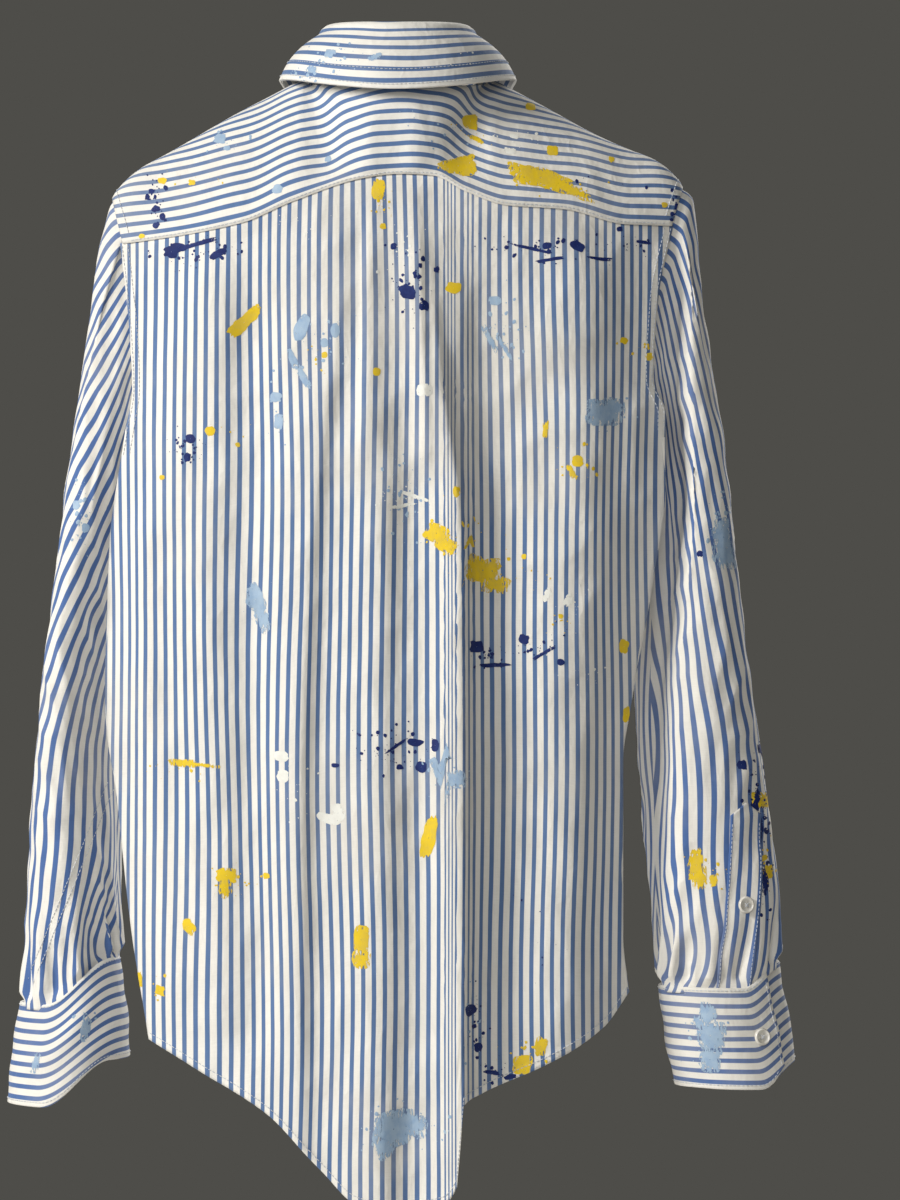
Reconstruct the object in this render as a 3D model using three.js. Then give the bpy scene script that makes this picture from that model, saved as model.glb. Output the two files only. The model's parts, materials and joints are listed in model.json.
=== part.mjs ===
// A striped cotton artist's smock: a long-sleeved, button-front shirt in the shape it takes on a hanger.
// Millimetres, +Z up, the wearer's front towards -Y and the wearer's left towards +X.
// The origin is the middle of the neck, where the hanger's neck rises between the two shoulder seats.
// Every cloth piece is a closed slab around its own middle surface; layers sewn together keep a small gap.
import * as THREE from "three";

// ---- cloth and gaps -------------------------------------------------------------------------
const CLOTH = 1.2; // thickness of one cloth slab
const STIFFENER = 0.8; // thickness of a sewn-in interlining
const LAYER_GAP = 0.4; // air between two sewn layers
const SEAM_GAP = 0.8; // air between two pieces that meet edge to edge
const LAYER = CLOTH + LAYER_GAP; // from one cloth layer's middle to the next
const LINED = CLOTH / 2 + LAYER_GAP + STIFFENER / 2; // from a cloth layer's middle to its interlining's

// ---- body -----------------------------------------------------------------------------------
const SHOULDER_X = 191; // from the middle to the shoulder point
const SHOULDER_TOP_Z = 5; // height of the shoulder line at the neck
const SHOULDER_SLOPE = 0.46; // fall of the shoulder line, per mm outwards
const SHOULDER_ROUNDING = 15.3; // extra fall at the shoulder point
const YOKE_SEAM_Z = -57; // yoke seam at the back's middle
const YOKE_SEAM_FALL = 37; // how far it falls towards the armholes
const YOKE_SEAM_X = SHOULDER_X - 12; // half the yoke's width along its back seam
const YOKE_END_X = SHOULDER_X - 4; // where its front edge ends, on the shoulder
const YOKE_LINING_DROP = LAYER + 0.8; // from the yoke's middle to its lining's
const BACK_SIDE_Y = 19; // the back panel's depth at its side edges
const BACK_BULGE = 36; // how far its middle stands behind them
const BACK_BULGE_GAIN = 8; // extra bulge at the hem
const TAIL_Z = -729; // lowest point of the back tail
const TAIL_RISE = 104; // the hem's rise from the tail to the side seam
const HEM_X = SHOULDER_X - 26; // half the hem's width
// The back's side edges, as [height, distance inside the shoulder point] pairs from the yoke down.
const EDGE = {
  left: [[-60, 11], [-158, 14], [-224, 11], [-335, 2], [-450, 1], [-551, 13], [-640, 28]],
  right: [[-60, 15], [-158, 19], [-224, 16], [-335, 24], [-450, 39], [-551, 42], [-640, 39]],
};

const FRONT_INSET = 17; // the front's side edge stands this far inside the back's
const FRONT_SIDE_Y = 8;
const FRONT_MIDDLE_Y = -52;
const CHEST_NECK_DROP = 3.4; // the chest's neck edge ends this far under the collar stand
const CHEST_WIDTH = SHOULDER_X - 13; // across a chest piece's lower edge
const CHEST_INSET = 11; // its lower corner stands this far inside the back's side edge
const FRONT_SPLIT_Z = -132; // where the sewn-down chest ends and the loose front begins
const FRONT_HEM_Z = -618;
const FRONT_HEM_RISE = 32;
const OVERLAP = 15; // how far each front passes the middle
const OPEN_AT_HEM = { right: 40, left: 22 }; // how far each loose front has drifted back by its hem
const OVER_OFFSET = 7; // the right front hangs this far outside the left, with the buttons between
const BAND_WIDTH = 30; // placket and button band

// ---- neck and collar ------------------------------------------------------------------------
const NECK = { halfWidth: 60, back: 56, front: 50, y: -8 };
const NECK_SIDE_X = NECK.halfWidth + 10; // where the shoulder line starts
const NECK_SIDE_Z = 6;
const NECK_BACK_DIP = 6;
const NECK_FRONT_DROP = 70;
const STAND_TOP = { halfWidth: NECK.halfWidth - 16, back: NECK.back - 7, front: NECK.front - 5 };
const STAND_HEIGHT = { back: 37, front: 27 };
const STAND_OVERLAP = 0.23; // radians past the front's middle
const STAND_SPIRAL = LAYER + CLOTH + 1.8; // one end passes this far outside the other
const LEAF_EDGE = { halfWidth: NECK.halfWidth + 17, back: NECK.back + 14, front: NECK.front + 22 };
const LEAF_BACK_Z = -3;
const LEAF_SIDE_Z = 9;
const LEAF_POINT_DROP = 104;
const LEAF_GAP = CLOTH + LAYER + 0.4; // from the stand's top to the undercollar
const LEAF_BOW = 3; // how far the leaf bows out between its fold and its edge
const LEAF_END = Math.PI - 0.2; // the leaf stops short of the front's middle

// ---- sleeves and cuffs ----------------------------------------------------------------------
const SLEEVE_TOP_Z = -238;
const HEAD_TOP_Z = shoulderLine(SHOULDER_X);
const HEAD_CUT_Z = -221; // the sleeve head's lower edge on its inner side
const HEAD_CUT_RISE = 48; // and how much higher it ends on its outer side
const HEAD_START_X = SHOULDER_X + 5;
// Sleeve sections from the top down: height, centre beyond the shoulder point, centre's depth,
// short and long half axes, turn in degrees.
const SLEEVES = {
  left: [
    [-238, 4, -20, 16, 56, 18],
    [-335, 13, -19, 19, 55, 18],
    [-450, 22, -17, 25, 50, 12],
    [-545, 25, -14, 29, 44, 6],
    [-601, 26, -12, 31, 37, 0],
  ],
  right: [
    [-238, 1, -20, 18, 54, 20],
    [-335, 3, -19, 28, 52, 24],
    [-450, 12, -18, 36, 46, 24],
    [-545, 21, -15, 40, 42, 10],
    [-590, 23, -12, 38, 34, 0],
  ],
};
const CUFF_HEIGHT = 67;
// seamZ: height of the cuff's seam; lean: how far its lower edge stands out; join: where it buttons;
// rise: how far its seam climbs from riseFrom to riseTo, measured outwards from the wrist's middle.
const CUFF = {
  left: { seamZ: -601, lean: 1, flare: 8, join: -100, rise: 30, riseFrom: 16, riseTo: -30 },
  right: { seamZ: -590, lean: 12, flare: 1, join: 62, rise: 16, riseFrom: 14, riseTo: 40 },
};
const RISE_START_Z = -470; // the sleeve's sections start to tilt towards the cuff's seam here
const CUFF_LAP = 20; // overlap of a closed cuff, along its edge
const BUTTON_INSET = 10; // from the cuff's outer end to its button
const SLIT_BUTTON_SHARE = 0.58; // how far down its placket the sleeve's small button is
const CUFF_SPIRAL = 2 * LINED + CLOTH + 1; // its outer end passes this far outside its inner end
// The sleeve placket: its place and half width round the sleeve in degrees, its length and lift.
const SLIT = { left: -75, right: 78, halfTurn: 14, length: 124, lift: 2.8 };

// ---- buttons and label ----------------------------------------------------------------------
const BUTTON_RADIUS = 5.7;
const BUTTON_HEIGHT = 2.3;
const BUTTON_LIFT = 0.9; // air under a button, where its thread shank is
const BUTTON_RIM = 2; // from its outer edge to its sunk middle
const BUTTON_ROUNDING = 0.7;
const CHEST_BUTTON_Z = -112;
const FRONT_BUTTONS = { count: 5, first: 0.132, pitch: 0.173 }; // as shares of the loose front's length
const LABEL = { width: 44, height: 16, thickness: 0.8, y: 41, z: -14 };

// ---- materials ------------------------------------------------------------------------------
const material = (color, roughness, metalness = 0) =>
  new THREE.MeshStandardMaterial({ color, roughness, metalness });
const stripedCotton = material(0xb9c6da, 0.85);
const interlining = material(0xf2efe8, 0.95);
const pearlButton = material(0xe9e4d8, 0.3);
const wovenLabel = material(0xf4f2ec, 0.8);

// ---- small helpers --------------------------------------------------------------------------
const { sin, cos, PI } = Math;
const vec = (x, y, z) => new THREE.Vector3(x, y, z);
const mix = THREE.MathUtils.lerp;
const clamp01 = (t) => THREE.MathUtils.clamp(t, 0, 1);

// A smooth reading of rows [key, value, ...] at a key; rows run from high keys to low.
function readRows(rows, key, column = 1) {
  const last = rows.length - 1;
  const i = THREE.MathUtils.clamp(rows.findIndex((row) => row[0] <= key) - 1, 0, last - 1);
  const found = key < rows[last][0] ? last - 1 : i;
  const t = clamp01((key - rows[found][0]) / (rows[found + 1][0] - rows[found][0]));
  return mix(rows[found][column], rows[found + 1][column], t * t * (3 - 2 * t));
}

// The outward normal of a surface(u, v); side is 1 or -1 as its two directions run.
function normalAt(surface, u, v, side) {
  const step = 1e-3;
  const along = surface(Math.min(u + step, 1), v).sub(surface(Math.max(u - step, 0), v));
  const down = surface(u, Math.min(v + step, 1)).sub(surface(u, Math.max(v - step, 0)));
  return along.cross(down).normalize().multiplyScalar(side);
}

const offsetPoint = (surface, u, v, side, by) =>
  surface(u, v).addScaledVector(normalAt(surface, u, v, side), by);

// A closed slab of cloth around surface(u, v), moved out by offset. A ring joins its u = 0 and u = 1 edges.
function slab(surface, { across, down, thickness = CLOTH, offset = 0, side = 1, ring = false }) {
  const columns = ring ? across : across + 1;
  const rows = down + 1;
  const positions = [];
  for (const face of [offset + thickness / 2, offset - thickness / 2]) {
    for (let j = 0; j < rows; j++) {
      for (let i = 0; i < columns; i++) {
        positions.push(...offsetPoint(surface, i / across, j / down, side, face).toArray());
      }
    }
  }
  const inner = columns * rows;
  const at = (i, j, layer) => layer * inner + j * columns + (i % columns);
  const index = [];
  const quad = (a, b, c, d) => index.push(a, b, c, a, c, d);
  for (let j = 0; j < down; j++) {
    for (let i = 0; i < across; i++) {
      quad(at(i, j, 0), at(i, j + 1, 0), at(i + 1, j + 1, 0), at(i + 1, j, 0));
      quad(at(i, j, 1), at(i + 1, j, 1), at(i + 1, j + 1, 1), at(i, j + 1, 1));
    }
  }
  for (let i = 0; i < across; i++) {
    quad(at(i, 0, 0), at(i + 1, 0, 0), at(i + 1, 0, 1), at(i, 0, 1));
    quad(at(i + 1, down, 0), at(i, down, 0), at(i, down, 1), at(i + 1, down, 1));
  }
  for (let j = 0; j < down && !ring; j++) {
    quad(at(0, j + 1, 0), at(0, j, 0), at(0, j, 1), at(0, j + 1, 1));
    quad(at(across, j, 0), at(across, j + 1, 0), at(across, j + 1, 1), at(across, j, 1));
  }
  const geometry = new THREE.BufferGeometry();
  geometry.setAttribute("position", new THREE.Float32BufferAttribute(positions, 3));
  geometry.setIndex(index);
  return volumeOf(geometry) < 0 ? turnedRound(geometry) : geometry;
}

function volumeOf(geometry) {
  const p = geometry.getAttribute("position");
  const corner = (i) => new THREE.Vector3().fromBufferAttribute(p, geometry.index.array[i]);
  let sum = 0;
  for (let i = 0; i < geometry.index.count; i += 3) {
    sum += corner(i).dot(corner(i + 1).cross(corner(i + 2)));
  }
  return sum / 6;
}

function turnedRound(geometry) {
  const index = Array.from(geometry.index.array);
  for (let i = 0; i < index.length; i += 3) {
    [index[i + 1], index[i + 2]] = [index[i + 2], index[i + 1]];
  }
  return geometry.setIndex(index);
}

const smock = new THREE.Group();
function add(name, geometry, finish) {
  const mesh = new THREE.Mesh(geometry, finish);
  mesh.name = name;
  smock.add(mesh);
  return mesh;
}

// ---- body lines -----------------------------------------------------------------------------
// Height of the shoulder line above a distance from the middle.
function shoulderLine(x) {
  const out = Math.max(Math.abs(x) - NECK_SIDE_X, 0);
  const rounding = SHOULDER_ROUNDING * (out / (SHOULDER_X - NECK_SIDE_X)) ** 5;
  return SHOULDER_TOP_Z - SHOULDER_SLOPE * out - rounding;
}

const yokeSeamZ = (x) =>
  YOKE_SEAM_Z - YOKE_SEAM_FALL * sin((PI / 2) * clamp01(Math.abs(x) / YOKE_SEAM_X)) ** 1.4;

const hemZ = (x) => TAIL_Z + TAIL_RISE * (1 - cos(PI * clamp01(Math.abs(x) / HEM_X))) / 2;

const sideX = (side, z) => SHOULDER_X - readRows(EDGE[side], z);

// The back's depth: flat in the middle, curving in to the side edges.
function backY(across, z) {
  const bulge = BACK_BULGE + BACK_BULGE_GAIN * clamp01(z / TAIL_Z);
  return BACK_SIDE_Y + bulge * (1 - Math.abs(across) ** 2.6);
}

// ---- neck and collar lines ------------------------------------------------------------------
// turn runs from 0 at the middle of the back to PI at the middle of the front.
function ringPoint(size, turn, z, grow = 0) {
  const depth = Math.abs(turn) < PI / 2 ? size.back : size.front;
  return vec((size.halfWidth + grow) * sin(turn), NECK.y + (depth + grow) * cos(turn), z);
}

function neckZ(turn) {
  const c = cos(turn);
  return c > 0
    ? NECK_SIDE_Z - NECK_BACK_DIP * c * c
    : NECK_SIDE_Z - NECK_FRONT_DROP * Math.abs(c) ** 3;
}

const frontShare = (turn) => (1 - cos(turn)) / 2;
const standTopZ = (turn) => neckZ(turn) + mix(STAND_HEIGHT.back, STAND_HEIGHT.front, frontShare(turn));

function leafEdgeZ(turn) {
  return cos(turn) > 0
    ? mix(LEAF_SIDE_Z, LEAF_BACK_Z, cos(turn) ** 2)
    : LEAF_SIDE_Z - LEAF_POINT_DROP * (1 - Math.abs(sin(turn)));
}

// ---- yoke and its lining --------------------------------------------------------------------
const NECK_SHARE = (NECK.halfWidth + 5) / SHOULDER_X; // share of the yoke that runs round the neck
const ARMHOLE_SHARE = 0.94; // where the front's armhole meets the yoke
const SHOULDER_TURN = (105 * PI) / 180; // where the front shoulder seam meets the neck
const SHOULDER_SEAM_Y = -15;

function yokeInnerEdge(signedShare) {
  const share = Math.abs(signedShare);
  const hand = Math.sign(signedShare) || 1;
  if (share < NECK_SHARE) {
    const turn = (share / NECK_SHARE) * SHOULDER_TURN;
    return ringPoint(NECK, hand * turn, neckZ(turn) - 1, SEAM_GAP + CLOTH);
  }
  const t = (share - NECK_SHARE) / (1 - NECK_SHARE);
  const neckEnd = ringPoint(NECK, SHOULDER_TURN, 0, SEAM_GAP + CLOTH);
  const x = mix(neckEnd.x, YOKE_END_X, t);
  const z = mix(neckZ(SHOULDER_TURN) - 1, shoulderLine(YOKE_END_X) - 8, t ** 1.15);
  return vec(hand * x, mix(neckEnd.y, SHOULDER_SEAM_Y, t), z);
}

// Over the shoulder from the neck or front shoulder seam to the back seam: one quadratic curve per step.
function yokeSurface(u, v) {
  const signedShare = 2 * u - 1;
  const inner = yokeInnerEdge(signedShare);
  const x = signedShare * YOKE_SEAM_X;
  const outer = vec(x, backY(signedShare * 0.985, YOKE_SEAM_Z), yokeSeamZ(x));
  const onShoulder = THREE.MathUtils.smoothstep(Math.abs(signedShare), 0.1, NECK_SHARE + 0.12);
  const ridgeX = mix((inner.x + outer.x) / 2, Math.sign(x) * Math.max(Math.abs(x), Math.abs(inner.x)), 0.5);
  const top = vec(
    ridgeX,
    mix((inner.y + outer.y) / 2 + 4, 8, onShoulder),
    mix((inner.z + outer.z) / 2 + 8, shoulderLine(ridgeX) + 20, onShoulder),
  );
  return new THREE.QuadraticBezierCurve3(inner, top, outer).getPoint(v);
}

add("yoke", slab(yokeSurface, { across: 28, down: 6 }), stripedCotton);
add("yoke_lining", slab(yokeSurface, { across: 28, down: 6, offset: -YOKE_LINING_DROP }), stripedCotton);

// ---- back panel -----------------------------------------------------------------------------
function backSurface(u, v) {
  const across = 1 - 2 * u;
  const x = across * YOKE_SEAM_X;
  const z = mix(yokeSeamZ(x) - SEAM_GAP - CLOTH, hemZ(across * HEM_X), v);
  return vec(across * sideX(across > 0 ? "left" : "right", z), backY(across, z), z);
}
add("back_panel", slab(backSurface, { across: 24, down: 12 }), stripedCotton);

// ---- fronts ---------------------------------------------------------------------------------
const OVER = { right: OVER_OFFSET, left: 0 };
const HAND = { right: -1, left: 1 };

// Depth of the front at a share of its width, 0 at the side and 1 at the middle.
const frontY = (share, over) =>
  mix(FRONT_SIDE_Y, FRONT_MIDDLE_Y - over, sin((PI / 2) * clamp01(share)) ** 0.8);

// The over-lying front comes forward of the other one over this stretch of its width.
const outShare = (u) => THREE.MathUtils.smoothstep(u, 0.45, 0.95);

// The chest, sewn to the yoke and the neck: u from the armhole to the front edge, v downwards.
function chestSurface(side) {
  const hand = HAND[side];
  const over = OVER[side];
  return (column, v) => {
    const u = widthShare(column, CHEST_WIDTH);
    const seamShare = 0.6; // share of u along the shoulder seam; the rest follows the neck
    let top;
    if (u < seamShare) {
      const edge = yokeInnerEdge(mix(ARMHOLE_SHARE, NECK_SHARE, u / seamShare));
      top = vec(edge.x, edge.y - SEAM_GAP - CLOTH, edge.z - SEAM_GAP - CLOTH);
    } else {
      const turn = mix(SHOULDER_TURN, PI + OVERLAP / NECK.halfWidth, (u - seamShare) / (1 - seamShare));
      top = ringPoint(NECK, turn, neckZ(turn) - CHEST_NECK_DROP, SEAM_GAP + CLOTH);
    }
    const width = sideX(side, FRONT_SPLIT_Z) - CHEST_INSET;
    const bottomX = mix(width, -OVERLAP, u);
    const bottom = vec(bottomX, frontY(1 - Math.max(bottomX, 0) / width, 0), FRONT_SPLIT_Z + SEAM_GAP);
    const point = top.lerp(bottom, v);
    return vec(hand * point.x, point.y - over * outShare(u), point.z);
  };
}

// The loose front below it, in the same sense.
function frontSurface(side) {
  const hand = HAND[side];
  return (column, v) => {
    const hem = FRONT_HEM_Z + FRONT_HEM_RISE * (1 - column) ** 1.5;
    const z = mix(FRONT_SPLIT_Z - SEAM_GAP, hem, v);
    const width = sideX(side, z) - FRONT_INSET;
    const edgeX = -OVERLAP + OPEN_AT_HEM[side] * v;
    const u = widthShare(column, width - edgeX);
    const x = mix(width, edgeX, u);
    return vec(hand * x, frontY(1 - Math.max(x, 0) / width, OVER[side] * outShare(u)), z);
  };
}

// The last columns of a front lie under its band, so that the two layers bend at the same places.
const FRONT_COLUMNS = 12;
const BAND_COLUMNS = 2;
const BAND_START = 1 - BAND_COLUMNS / FRONT_COLUMNS;

// A share of a front's columns turned into a share of its width, with the band BAND_WIDTH wide.
function widthShare(u, width) {
  const plain = 1 - BAND_WIDTH / width;
  return u < BAND_START
    ? (u / BAND_START) * plain
    : plain + ((u - BAND_START) / (1 - BAND_START)) * (BAND_WIDTH / width);
}

const bandOn = (surface) => (u, v) => surface(mix(BAND_START, 1, u), v);
const outward = { right: 1, left: -1 };

for (const side of ["left", "right"]) {
  const chest = chestSurface(side);
  const front = frontSurface(side);
  const facing = outward[side];
  add(`${side}_chest`, slab(chest, { across: FRONT_COLUMNS, down: 3, side: facing }), stripedCotton);
  add(`${side}_front`, slab(front, { across: FRONT_COLUMNS, down: 10, side: facing }), stripedCotton);
  const name = side === "right" ? "placket" : "button_band";
  const band = { across: BAND_COLUMNS, side: facing, offset: LAYER };
  add(`${name}_top`, slab(bandOn(chest), { ...band, down: 3 }), stripedCotton);
  add(name, slab(bandOn(front), { ...band, down: 10 }), stripedCotton);
}

// ---- collar stand and leaf ------------------------------------------------------------------
function standSurface(u, v) {
  const turn = mix(-PI - STAND_OVERLAP, PI + STAND_OVERLAP, u);
  const grow = STAND_SPIRAL * (0.5 - u) * THREE.MathUtils.smoothstep(Math.abs(turn), PI / 2, PI);
  const base = ringPoint(NECK, turn, neckZ(turn) + SEAM_GAP + CLOTH / 2, grow);
  const top = ringPoint(STAND_TOP, turn, standTopZ(turn), grow);
  return base.lerp(top, v);
}
const STAND = { across: 40, down: 2, side: -1 };
add("collar_stand", slab(standSurface, STAND), stripedCotton);
add("collar_stand_lining", slab(standSurface, { ...STAND, offset: -LAYER }), stripedCotton);

function leafSurface(u, v) {
  const turn = mix(-LEAF_END, LEAF_END, u);
  const top = ringPoint(STAND_TOP, turn, standTopZ(turn) + 1, LEAF_GAP);
  const edge = ringPoint(LEAF_EDGE, turn, leafEdgeZ(turn));
  const bow = LEAF_BOW * sin(PI * v);
  const point = top.lerp(edge, v);
  return point.add(vec(bow * sin(turn), bow * cos(turn), bow));
}
const LEAF = { across: 40, down: 3, side: 1 };
add("collar_leaf", slab(leafSurface, { ...LEAF, offset: 2 * LINED }), stripedCotton);
add("collar_interlining", slab(leafSurface, { ...LEAF, thickness: STIFFENER, offset: LINED }), interlining);
add("undercollar", slab(leafSurface, LEAF), stripedCotton);

// ---- sleeve heads, sewn into the armholes ---------------------------------------------------
// One arc from the back armhole edge round the outside to the front armhole edge, at each height.
function headSurface(side) {
  const hand = HAND[side];
  const rows = SLEEVES[side];
  const [, beyond, ringY, shortAxis, longAxis, turnDegrees] = rows[0];
  return (u, v) => {
    const lowest = HEAD_CUT_Z + HEAD_CUT_RISE * sin(PI * u) ** 0.6;
    const z = mix(HEAD_TOP_Z, lowest, v);
    const grown = clamp01((HEAD_TOP_Z - z) / (HEAD_TOP_Z - HEAD_CUT_Z)) ** 0.55;
    const angle = mix(150, -150, u) * (PI / 180);
    const turn = (turnDegrees * PI) / 180;
    const across = shortAxis * cos(angle) * mix(0.25, 1, grown);
    const along = longAxis * sin(angle) * mix(0.3, 1, grown);
    const x = mix(HEAD_START_X, SHOULDER_X + beyond, grown) + across * cos(turn) + along * sin(turn);
    const y = mix(-2, ringY, grown) + along * cos(turn) - across * sin(turn);
    return vec(hand * x, y, z);
  };
}

// ---- sleeves --------------------------------------------------------------------------------
// How far a cuff's seam climbs at a distance outwards from the wrist's middle.
function seamRise(side, out) {
  const { rise, riseFrom, riseTo } = CUFF[side];
  const t = clamp01((out - riseFrom) / (riseTo - riseFrom));
  return rise * t * t * (3 - 2 * t);
}

// angle runs from the outside (0) through the back (90 degrees).
function sleevePoint(side, angle, z, grow = 0) {
  const rows = SLEEVES[side];
  const [beyond, cy, shortAxis, longAxis, degrees] = [1, 2, 3, 4, 5].map((c) => readRows(rows, z, c));
  const turn = (degrees * PI) / 180;
  const across = (shortAxis + grow) * cos(angle);
  const along = (longAxis + grow) * sin(angle);
  const out = across * cos(turn) + along * sin(turn);
  const tilt = THREE.MathUtils.smoothstep(-z, -RISE_START_Z, -CUFF[side].seamZ);
  const height = z + tilt * seamRise(side, out);
  const x = SHOULDER_X + beyond + out;
  return vec(HAND[side] * x, cy + along * cos(turn) - across * sin(turn), height);
}

const sleeveSurface = (side) => (u, v) =>
  sleevePoint(side, 2 * PI * u, mix(SLEEVE_TOP_Z, CUFF[side].seamZ + SEAM_GAP, v));

// The placket strip over the sleeve's slit, from its point down to the cuff.
const slitSurface = (side) => (u, v) => {
  const angle = ((SLIT[side] + mix(-SLIT.halfTurn, SLIT.halfTurn, u)) * PI) / 180;
  return sleevePoint(side, angle, CUFF[side].seamZ + 2 * SEAM_GAP + SLIT.length * (1 - v));
};

// ---- cuffs ----------------------------------------------------------------------------------
// A cuff is a band wound a little more than once round the wrist; grow follows its spiral.
function cuffSurface(side) {
  const [, beyond, cy, shortAxis, longAxis] = SLEEVES[side].at(-1);
  const { seamZ, lean, flare, join } = CUFF[side];
  const lap = CUFF_LAP / longAxis;
  return (u, v) => {
    const angle = (join * PI) / 180 + mix(-lap / 2, 2 * PI + lap / 2, u);
    const grow = CUFF_SPIRAL * (0.5 - u) + flare * v;
    const out = (shortAxis + grow) * cos(angle);
    const y = cy + (longAxis + grow) * sin(angle);
    const height = seamZ - SEAM_GAP - CUFF_HEIGHT * v + seamRise(side, out);
    return vec(HAND[side] * (SHOULDER_X + beyond + lean * v + out), y, height);
  };
}

for (const side of ["left", "right"]) {
  const facing = outward[side];
  const head = headSurface(side);
  const sleeve = sleeveSurface(side);
  add(`${side}_sleeve_head`, slab(head, { across: 14, down: 5, side: -facing }), stripedCotton);
  add(`${side}_sleeve`, slab(sleeve, { across: 20, down: 9, side: facing, ring: true }), stripedCotton);
  const slit = slitSurface(side);
  const strip = { across: 3, down: 5, side: facing, offset: SLIT.lift };
  add(`${side}_sleeve_placket`, slab(slit, strip), stripedCotton);
  const cuff = cuffSurface(side);
  const shape = { across: 28, down: 2, side: facing };
  add(`${side}_cuff`, slab(cuff, { ...shape, offset: LINED }), stripedCotton);
  add(`${side}_cuff_interlining`, slab(cuff, { ...shape, thickness: STIFFENER }), interlining);
  add(`${side}_cuff_lining`, slab(cuff, { ...shape, offset: -LINED }), stripedCotton);
  addButton(`${side}_placket_button`, slit, 0.5, SLIT_BUTTON_SHARE, facing, SLIT.lift);
  const roundTheWrist = 2 * PI * SLEEVES[side].at(-1)[4];
  addButton(`${side}_cuff_button`, cuff, BUTTON_INSET / roundTheWrist, 0.5, facing, LINED);
}

// ---- buttons --------------------------------------------------------------------------------
// A dished button: a flat back, a rounded rim and a sunk middle.
function buttonGeometry() {
  const r = BUTTON_RADIUS;
  const h = BUTTON_HEIGHT;
  const c = BUTTON_ROUNDING;
  const flat = r - BUTTON_RIM + c;
  const rim = [[r - c, 0], [r, c], [r, h - c], [r - c, h], [flat, h], [flat - c, h - c]];
  const profile = [[0, 0], ...rim, [0, h - c]].map(([x, y]) => new THREE.Vector2(x, y));
  return new THREE.LatheGeometry(profile, 16);
}

// Sets a button on a cloth surface, standing on its normal.
function addButton(name, surface, u, v, facing, offset) {
  const mesh = add(name, buttonGeometry(), pearlButton);
  const normal = normalAt(surface, u, v, facing);
  mesh.position.copy(offsetPoint(surface, u, v, facing, offset + CLOTH / 2 + BUTTON_LIFT));
  mesh.quaternion.setFromUnitVectors(vec(0, 1, 0), normal);
  return mesh;
}

const MIDDLE_OF_BAND = (BAND_START + 1) / 2;
const heightShare = (z, top, bottom) => (z - top) / (bottom - top);
const frontMiddle = (STAND_OVERLAP + 0.03) / (2 * PI + 2 * STAND_OVERLAP);
addButton("collar_button", standSurface, frontMiddle, 0.5, -1, 0);
addButton(
  "chest_button", chestSurface("right"), MIDDLE_OF_BAND,
  heightShare(CHEST_BUTTON_Z, neckZ(PI) - CHEST_NECK_DROP, FRONT_SPLIT_Z), outward.right, LAYER,
);
for (let i = 0; i < FRONT_BUTTONS.count; i++) {
  const down = FRONT_BUTTONS.first + i * FRONT_BUTTONS.pitch;
  addButton(`front_button_${i + 1}`, frontSurface("left"), MIDDLE_OF_BAND, down, outward.left, LAYER);
}

// ---- blank label inside the back of the neck ------------------------------------------------
const tape = new THREE.BoxGeometry(LABEL.width, LABEL.thickness, LABEL.height);
const label = add("neck_label", tape, wovenLabel);
label.position.set(0, LABEL.y, LABEL.z);

export default smock;
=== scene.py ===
"""A striped cotton artist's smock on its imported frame: cloth, seams, buttons and dried paint.

Lengths are in metres and shape stations in millimetres. +Z is up, the wearer's back faces +Y and the
wearer's left is +X. Cloth coordinates run (across the stripes, along the stripes), in metres of cloth.
"""
import json
import logging
import math
from dataclasses import dataclass, field
from enum import Enum
from typing import Optional, Sequence

import bpy
import numpy as np
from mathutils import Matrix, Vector


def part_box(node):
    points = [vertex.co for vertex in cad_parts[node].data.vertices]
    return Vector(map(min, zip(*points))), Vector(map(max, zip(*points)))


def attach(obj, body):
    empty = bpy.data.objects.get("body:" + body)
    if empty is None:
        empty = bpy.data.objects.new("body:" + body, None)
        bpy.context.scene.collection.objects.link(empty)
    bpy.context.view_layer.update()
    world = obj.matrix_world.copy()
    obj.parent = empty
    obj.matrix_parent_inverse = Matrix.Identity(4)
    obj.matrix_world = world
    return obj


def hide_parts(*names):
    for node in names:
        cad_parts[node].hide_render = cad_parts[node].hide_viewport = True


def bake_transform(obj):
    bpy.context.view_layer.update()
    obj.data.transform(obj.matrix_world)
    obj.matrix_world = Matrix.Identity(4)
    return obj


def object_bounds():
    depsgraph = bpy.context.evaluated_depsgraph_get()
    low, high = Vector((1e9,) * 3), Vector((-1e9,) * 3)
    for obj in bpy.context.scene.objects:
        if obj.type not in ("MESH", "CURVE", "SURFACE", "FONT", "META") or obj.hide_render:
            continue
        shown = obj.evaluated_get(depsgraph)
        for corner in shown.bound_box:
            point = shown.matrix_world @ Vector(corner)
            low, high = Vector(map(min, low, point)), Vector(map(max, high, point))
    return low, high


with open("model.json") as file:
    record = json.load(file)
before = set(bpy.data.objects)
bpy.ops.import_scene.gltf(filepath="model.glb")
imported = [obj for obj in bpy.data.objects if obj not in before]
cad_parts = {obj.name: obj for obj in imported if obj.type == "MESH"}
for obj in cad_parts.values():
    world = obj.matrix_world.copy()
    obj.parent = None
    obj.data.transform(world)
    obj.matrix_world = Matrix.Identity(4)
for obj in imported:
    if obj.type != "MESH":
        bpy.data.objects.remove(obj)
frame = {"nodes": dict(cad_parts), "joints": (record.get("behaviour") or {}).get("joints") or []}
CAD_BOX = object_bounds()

log = logging.getLogger("smock")
logging.basicConfig(level=logging.INFO, format="%(name)s: %(message)s")

Array = np.ndarray
Stations = Sequence[tuple[float, float]]
Place = tuple[float, float, float]

MM = 0.001
CLOTH = 0.45 * MM  # thickness of one layer of poplin
STRIPE_PERIOD = 7.3 * MM
GRID = 2.6 * MM  # spacing of the cloth grids
TORSO = "torso"
HEM_WIDTH = 6 * MM
SEAM_WIDTH = 7 * MM  # the felled seam round each armhole
BAND = 30 * MM  # width of the button band and the placket


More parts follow.
